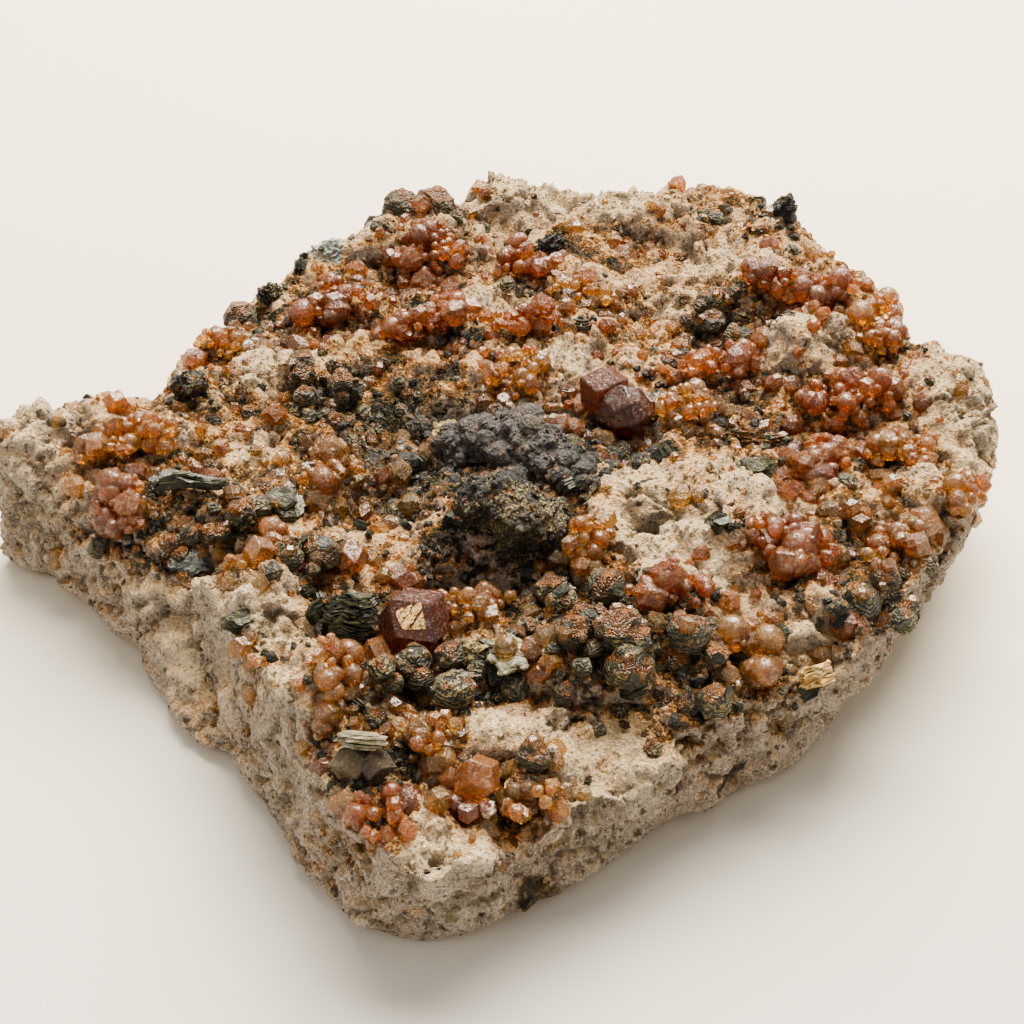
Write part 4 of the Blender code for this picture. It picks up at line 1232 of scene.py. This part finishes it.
def onRock(x, y):
    return rockTree.ray_cast(Vector((x, y, skyHigh)) * mm, Vector((0, 0, -1)))[0]


def makeBeads(slotName):
    bm = bmesh.new()
    tint = bm.verts.layers.float.new("tint")
    dice = random.Random(slotName)
    for index, (x, y, radius, tone, *lift) in enumerate(beads[slotName]):
        hit = onRock(x, y)
        facing = Vector([dice.uniform(-1, 1) for _ in range(3)])
        middle = hit + Vector((0, 0, 0.35 * radius + sum(lift))) * mm
        mesh = gemMesh(radius, "kites" if index % 3 else "rhombs", facing, dice.uniform(0, 3), middle, index)
        toned(bm, addedTo(bm, mesh), tint, tone)
    beadsMesh = meshOf(f"beads_{slotName}", bm)
    return finished(objectOf(beadsMesh, garnetMaterials[slotName]), slotName)


for slotName in beads:
    makeBeads(slotName)


def makeCrust(name, index):
    core = nudged(mergedCopy(name, f"core_{name}"), name)
    bm = bmesh.new()
    bm.from_mesh(core.data)
    bmesh.ops.subdivide_edges(bm, edges=bm.edges, cuts=1, use_grid_fill=True)
    bm.to_mesh(core.data)
    bm.free()
    setShare(core, "share", np.clip(normalsOf(core)[:, 2] + 0.6, 0, 1))
    slotName = slotOf[name]
    forms, spacing, small, large, few, sink = crust[slotName]
    large = largest.get(name, large)
    least, most = wrappings.get(name, (0.0, 0.8)) if slotName == "garnet_brown" else (0.0, 1.0)
    values = growing("share", forms, garnetMaterials[slotName], spacing, small, large, few, sink, 100 + index,
                     **{"Tint From": least, "Tint To": most})
    piece = grow(f"crust_{name}", core, values)
    bpy.data.objects.remove(core)
    if slotName == "garnet_brown":
        # thin leaves lie on the nodules, and small bright garnets sit between them
        setShare(piece, "share", 0.75 * np.clip(normalsOf(piece)[:, 2] + 0.5, 0, 1))
        leaves = growing("share", bookForms, darkMica, 2.0, 0.6, 1.3, 2.0, 0.12, 200 + index, 0.3, Lie=0.85)
        finished(grow(f"leaves_{name}", piece, leaves), "mica")
        orange = garnetMaterials["garnet_orange"]
        dots = growing("share", garnetForms, orange, 1.5, 0.35, 1.1, 2.2, 0.4, 300 + index)
        finished(grow(f"dots_{name}", piece, dots), "garnet_orange")
    return finished(piece, slotOf[name], name)


faces = 0
gemLooks = {"garnet_main": "garnet_deep", "garnets_centre_pair": "garnet_deep", "garnet_front": "garnet_red"}
for index, name in enumerate(garnetNodes):
    if name in gems:
        makeGems(name, garnetMaterials[gemLooks.get(name, slotOf[name])])
    else:
        faces += len(makeCrust(name, index).data.polygons)
print("crusts:", faces, "faces")


# the dark quartz: each lump pitted and broken

quartz = {"voxel": 0.4 * mm, "pit": (1.9 * mm, 0.9 * mm), "chip": (0.8 * mm, 0.35 * mm)}


def makeQuartz(name):
    lean = 0.3 if name == "dark_quartz_back" else 0.0
    obj = remeshed(nudged(mergedCopy(name, f"pitted_{name}"), name, lean), quartz["voxel"])
    texture = bpy.data.textures.new(f"pits_{name}", "VORONOI")
    texture.noise_scale = quartz["pit"][0]
    texture.distance_metric = "DISTANCE"
    pits = obj.modifiers.new("pits", "DISPLACE")
    pits.texture = texture
    pits.strength = quartz["pit"][1]
    pits.mid_level = 0.55
    rough = bpy.data.textures.new(f"chips_{name}", "CLOUDS")
    rough.noise_scale = quartz["chip"][0]
    chips = obj.modifiers.new("chips", "DISPLACE")
    chips.texture = rough
    chips.strength = quartz["chip"][1] * 2
    applied(obj)
    look = smokyMaterial if name == "dark_quartz_back" else quartzMaterial
    dressed(obj, look)
    setShare(obj, "share", np.clip(normalsOf(obj)[:, 2] + 0.7, 0, 1))
    crumbs = growing("share", grainForms, look, 0.8, 0.3, 0.85, 2.0, 0.3, 19, 0.8)
    finished(grow(f"crumbs_{name}", obj, crumbs), "dark_quartz")
    if look is smokyMaterial:
        knobs = growing("share", noduleForms, look, 2.5, 0.9, 2.3, 2.0, 0.45, 29)
        finished(grow(f"knobs_{name}", obj, knobs), "dark_quartz")
    return finished(obj, "dark_quartz", name)


for name in quartzNodes:
    makeQuartz(name)
print("quartz:", len(quartzNodes))


# the mica: thin ragged sheets stacked through each book

edgeOn = (0.08, 0.73, 0.68)  # sheets that show their edges to the front
books = {  # offset, half sizes in mm, way the sheets face, turn, sheets, raggedness, waves, hook and look
    "mica_blades_left": ((0, 0, 0.2), (4.6, 1.4, 0.8), edgeOn, 0.06, 7, 0.2, 1.5, 1.8, "dark"),
    "mica_dark_main": ((0, 0, 0.2), (2.9, 2.0, 2.6), edgeOn, -0.25, 19, 0.24, 0.5, 0, "dark"),
    "mica_book_front": ((-0.1, 1.0, 1.1), (2.7, 1.5, 0.75), edgeOn, -0.03, 6, 0.07, 0.4, 0, "silver"),
    "mica_silver": ((0, 0.2, -0.7), (2.3, 2.0, 0.7), (0.1, -0.35, 0.93), 0.3, 4, 0.16, 0.5, 0, "dark"),
    "mica_right_rim": ((0, 0, 0), (2.4, 1.4, 1.2), (-0.2, 0.6, 0.75), 0.4, 9, 0.2, 0.5, 0, "gold"),
}


def makeBook(name):
    offset, halves, facing, spin, count, ragged, wave, hook, look = books[name]
    middle = boxMiddle(name) + Vector(offset) * mm
    up = Vector(facing).normalized()
    along = (Vector((1, 0, 0)) - up * up.x).normalized()
    along = Matrix.Rotation(spin, 3, up) @ along
    across = up.cross(along)
    turn = Matrix([axis * half * mm for axis, half in zip((along, across, up), halves)]).transposed().to_4x4()
    dice = random.Random(name)
    half = 0.8 / count
    sheets = []
    for index in range(count):
        level = (2 * index + 1) / count - 1
        taper = 0.3 * level**2
        sheets.append((level - half, level + half, 0.95 - taper + dice.uniform(-0.16, 0.04), dice.random()))
    bm = sheetStack(bmesh.new(), sheets, Matrix.Identity(4), name, ragged, 22)
    for vertex in bm.verts:
        # the sheets wave together and their rims are nicked
        flat = Vector((vertex.co.x, vertex.co.y, 0))
        wavy = wave * noise.noise(flat * 1.1 + Vector((count, 0, 0)))
        vertex.co.z += wavy - hook * max(0, -0.5 - flat.x) ** 1.5
        vertex.co += Vector((1, 1, 0)) * 0.16 * noise.noise(vertex.co * 5.0)
        vertex.co = Matrix.Translation(middle) @ turn @ vertex.co
    bmesh.ops.recalc_face_normals(bm, faces=bm.faces)
    return finished(objectOf(meshOf(f"sheets_{name}", bm), micaMaterials[look]), slotOf[name], name)


cup = (  # silvery lumps round a bead of garnet: offset, half sizes in mm and tone
    (-0.7, 1.1, 0.0, 0.6, 0.4, 0.5, 0.4), (-0.1, 1.3, 0.1, 0.7, 0.4, 0.5, 0.1),
    (0.6, 1.2, 0.1, 0.7, 0.4, 0.5, 0.0),
    (1.1, 0.9, 0.0, 0.5, 0.5, 0.5, 0.1), (1.5, 0.3, -0.1, 0.5, 0.6, 0.5, 0.0),
    (1.5, -0.4, -0.3, 0.5, 0.6, 0.5, 0.3),
    (1.3, -1.2, -0.5, 0.7, 0.6, 0.6, 0.0), (0.5, -1.5, -0.6, 0.9, 0.6, 0.6, 0.6),
    (-0.5, -1.5, -0.7, 0.9, 0.6, 0.6, 0.4),
    (-1.3, -0.9, -0.6, 0.7, 0.6, 0.5, 0.7), (0.2, -2.1, -0.9, 1.0, 0.6, 0.6, 0.8),
    (1.8, -1.7, -0.8, 0.5, 0.5, 0.5, 0.4),
    (2.0, 0.1, -0.5, 0.5, 0.7, 0.7, 0.9), (-1.5, 0.9, -0.1, 0.5, 0.5, 0.5, 0.8),
)


def makeCup():
    middle = boxMiddle("mica_silver")
    bm = bmesh.new()
    layer = bm.verts.layers.float.new("layer")
    for index, (x, y, z, halfX, halfY, halfZ, tone) in enumerate(cup):
        lump = noduleBody(index + 3)
        place = Matrix.Translation(middle + Vector((x, y, z + 0.2)) * mm) @ Matrix.Rotation(index, 4, "Z")
        sizes = Matrix.Diagonal((1.25 * halfX * mm, 1.1 * halfY * mm, 0.6 * halfZ * mm, 1))
        bmesh.ops.transform(lump, matrix=place @ sizes, verts=lump.verts)
        toned(bm, addedTo(bm, meshOf("lump", lump)), layer, tone + 0.35)
    finished(objectOf(meshOf("silver_lumps", bm), micaMaterials["silver"]), "mica")
    mesh = gemMesh(1.3, "kites", (0.2, -0.5, 0.8), 0.4, middle + Vector((-0.1, 0.1, 0.45)) * mm, 3)
    mesh.name = "bead_in_leaves"
    finished(objectOf(mesh, garnetMaterials["garnet_orange"]), "garnet_orange")


block = (  # the glassy lower part of the front book, in two halves: offset, half sizes in mm and tone
    (-0.8, -0.1, -1.0, 2.3, 1.9, 1.6, 0.3), (1.0, -0.2, -1.1, 2.1, 1.8, 1.5, 0.9),
)


def makeBlock():
    middle = boxMiddle("mica_book_front")
    bm = bmesh.new()
    tint = bm.verts.layers.float.new("tint")
    for seed, (x, y, z, halfX, halfY, halfZ, tone) in enumerate(block):
        body = softened(crystalBody(False, seed + 31, (halfX * mm, halfY * mm, halfZ * mm)), 0.08 * mm)
        mesh = meshOf("half", body)
        spot = Matrix.Translation(middle + Vector((x, y, z)) * mm)
        mesh.transform(spot @ Matrix.Rotation(0.15 - 0.3 * seed, 4, "Z"))
        toned(bm, addedTo(bm, mesh), tint, tone)
    finished(objectOf(meshOf("book_block", bm), garnetMaterials["smoky_block"]), "mica")


makeBlock()
for name in micaNodes:
    makeBook(name)
makeCup()
print("mica:", len(micaNodes))


# single lumps and leaves that stand out: x, y, height above the rock, half sizes in mm, turn, form and look
bits = {
    "bluish_piece": (-36.3, -19.3, 0.2, 2.4, 1.6, 0.8, 0.3, "lump", "blue"),
    "khaki_mass": (-2.6, -38.6, 0.6, 2.3, 1.5, 1.3, 0.2, "lump", "khaki"),
    "khaki_ridge": (-5.8, 1.8, 0.0, 3.4, 1.9, 0.9, -0.3, "lump", "khaki"),
    "rim_blades": (-27.4, -33.2, 0.5, 2.2, 1.3, 0.9, 0.1, "leaf", "dark"),
    "striated_front": (3.7, -53.6, 0.7, 1.7, 1.0, 1.0, 0.5, "leaf", "gold"),
    "olive_back": (8.5, 46.0, 0.5, 2.2, 1.6, 1.6, 0.3, "lump", "black"),
    "bluish_hump": (-25.0, 42.4, -0.9, 3.2, 2.2, 1.7, 0.5, "lump", "blue"),
    "leaf_disc": (-25.4, -12.8, 0.6, 2.1, 1.8, 0.6, 0.2, "leaf", "dark"),
    "leaf_rim": (-23.6, -13.0, 0.5, 0.7, 1.3, 0.5, 0.2, "lump", "silver"),
    "white_fleck": (14.6, -27.8, 0.6, 1.2, 0.8, 0.6, 0.9, "leaf", "silver"),
    "dark_pair_a": (26.2, -21.6, 0.5, 1.6, 1.3, 1.3, 0.2, "leaf", "dark"),
    "dark_pair_b": (28.4, -22.4, 0.3, 1.3, 1.1, 1.2, 1.4, "lump", "black"),
    "dark_lump_left": (-31.9, -10.8, 0.6, 1.6, 1.3, 1.5, 0.4, "leaf", "dark"),
    "dark_lump_inner": (-29.8, -16.4, 0.8, 1.7, 1.4, 1.4, 0.1, "lump", "black"),
    "grey_green_leaf": (32.7, -8.1, 0.5, 2.5, 1.5, 1.1, 0.2, "leaf", "dark"),
    "dark_blade": (33.0, -0.6, 0.8, 4.0, 1.3, 1.2, -0.1, "lump", "brown"),
    "dark_lump_back": (-32.6, 31.5, 0.6, 1.8, 1.6, 1.7, 0.3, "lump", "black"),
    "blue_black_leaf": (23.3, -44.0, 0.4, 1.4, 1.1, 0.9, 0.5, "leaf", "blue"),
    "front_blade": (28.8, -38.0, 0.6, 2.8, 1.1, 1.1, -0.4, "leaf", "dark"),
    "olive_lump": (2.0, -28.3, 0.3, 2.0, 1.8, 1.2, 0.7, "lump", "black"),
}


bitMaterials = {
    "black": quartzMaterial, "khaki": khakiMaterial, "brown": garnetMaterials["garnet_brown"],
    **micaMaterials,
}


def makeBit(name):
    x, y, above, halfX, halfY, halfZ, spin, form, look = bits[name]
    place = Matrix.Translation(onRock(x, y) + Vector((0, 0, above)) * mm) @ Matrix.Rotation(spin, 4, "Z")
    place = place @ Matrix.Rotation(0.45, 4, "X") @ Matrix.Diagonal((halfX * mm, halfY * mm, halfZ * mm, 1))
    if form == "leaf":
        dice = random.Random(name)
        sheets = [
            (0.25 * k - 0.95, 0.25 * k - 0.72, 1 - 0.05 * k + dice.uniform(-0.1, 0.1), dice.random())
            for k in range(8)
        ]
        bm = sheetStack(bmesh.new(), sheets, Matrix.Identity(4), name, 0.18, 16)
        for vertex in bm.verts:
            vertex.co.z += 0.6 * noise.noise(Vector((vertex.co.x, vertex.co.y, x)))
    else:
        bm = noduleBody(len(name), 0.7, 1.5, 4)
        for vertex in bm.verts:
            vertex.co *= 1 + 0.35 * noise.noise(vertex.co * 4.5 + Vector((x, y, 0)))
    bmesh.ops.transform(bm, matrix=place, verts=bm.verts)
    bmesh.ops.recalc_face_normals(bm, faces=bm.faces)
    obj = objectOf(meshOf(name, bm), bitMaterials[look])
    if look == "brown":
        setShare(obj, "tint", np.full(len(obj.data.vertices), 0.4))
    return finished(obj, "mica" if form == "leaf" else "dark_quartz")


for name in bits:
    makeBit(name)
print("single bits:", len(bits))


# the forms have done their work
for group in (garnetForms, crustForms, noduleForms, grainForms, bookForms):
    for obj in list(group.objects):
        bpy.data.objects.remove(obj)
    bpy.data.collections.remove(group)


# floor, light and camera

studio = {
    "floor": (0.72, 0.65, 0.52),
    "floorDeep": (0.60, 0.575, 0.53),
    "world": (1.0, 0.93, 0.82),
    "worldStrength": 0.72,
    "cameraAt": (2.47 * mm, -141.2 * mm, 131.45 * mm),
    "lookAt": (2.47 * mm, -5.2 * mm, 9 * mm),
    "fieldOfView": math.radians(40),
}
lamps = (  # name, place, size, power and colour of each soft light, aimed at the specimen
    ("window_behind", (0.14, 0.64, 0.82), 0.85, 49.5, (1.0, 0.935, 0.82)),
    ("soft_left", (-0.75, -0.25, 0.65), 0.6, 1.4, (1.0, 0.98, 0.96)),
)


def aimed(way):
    return way.to_track_quat("-Z", "Y").to_euler()


def makeStudio():
    bpy.ops.mesh.primitive_plane_add(size=6)
    floor = bpy.context.object
    floor.name = "floor"
    material, _, shader, place = shaderBase("pale_floor")
    drift = noiseOf(place, 3.0, 2.0)
    base = blend(mapped(drift, 0.3, 0.7), studio["floor"], studio["floorDeep"])
    feed(shader, {"Base Color": base, "Roughness": 0.85})
    floor.data.materials.append(material)
    world = bpy.data.worlds.new("soft_room")
    world.use_nodes = True
    background = world.node_tree.nodes["Background"]
    feed(background, {"Color": (*studio["world"], 1), "Strength": studio["worldStrength"]})
    bpy.context.scene.world = world
    for name, place, size, power, colour in lamps:
        lamp = bpy.data.lights.new(name, "AREA")
        lamp.size = size
        lamp.energy = power
        lamp.color = colour
        obj = bpy.data.objects.new(name, lamp)
        obj.location = place
        obj.rotation_euler = aimed(-Vector(place))
        bpy.context.scene.collection.objects.link(obj)


def makeCamera():
    camera = bpy.data.cameras.new("camera")
    camera.sensor_width = 36
    camera.lens = 18 / math.tan(studio["fieldOfView"] / 2)
    camera.clip_start = 0.005
    obj = bpy.data.objects.new("camera", camera)
    obj.location = studio["cameraAt"]
    obj.rotation_euler = aimed(Vector(studio["lookAt"]) - Vector(studio["cameraAt"]))
    bpy.context.scene.collection.objects.link(obj)
    bpy.context.scene.camera = obj


makeStudio()
makeCamera()
bpy.context.scene.view_settings.look = "AgX - Medium High Contrast"
print("studio done")
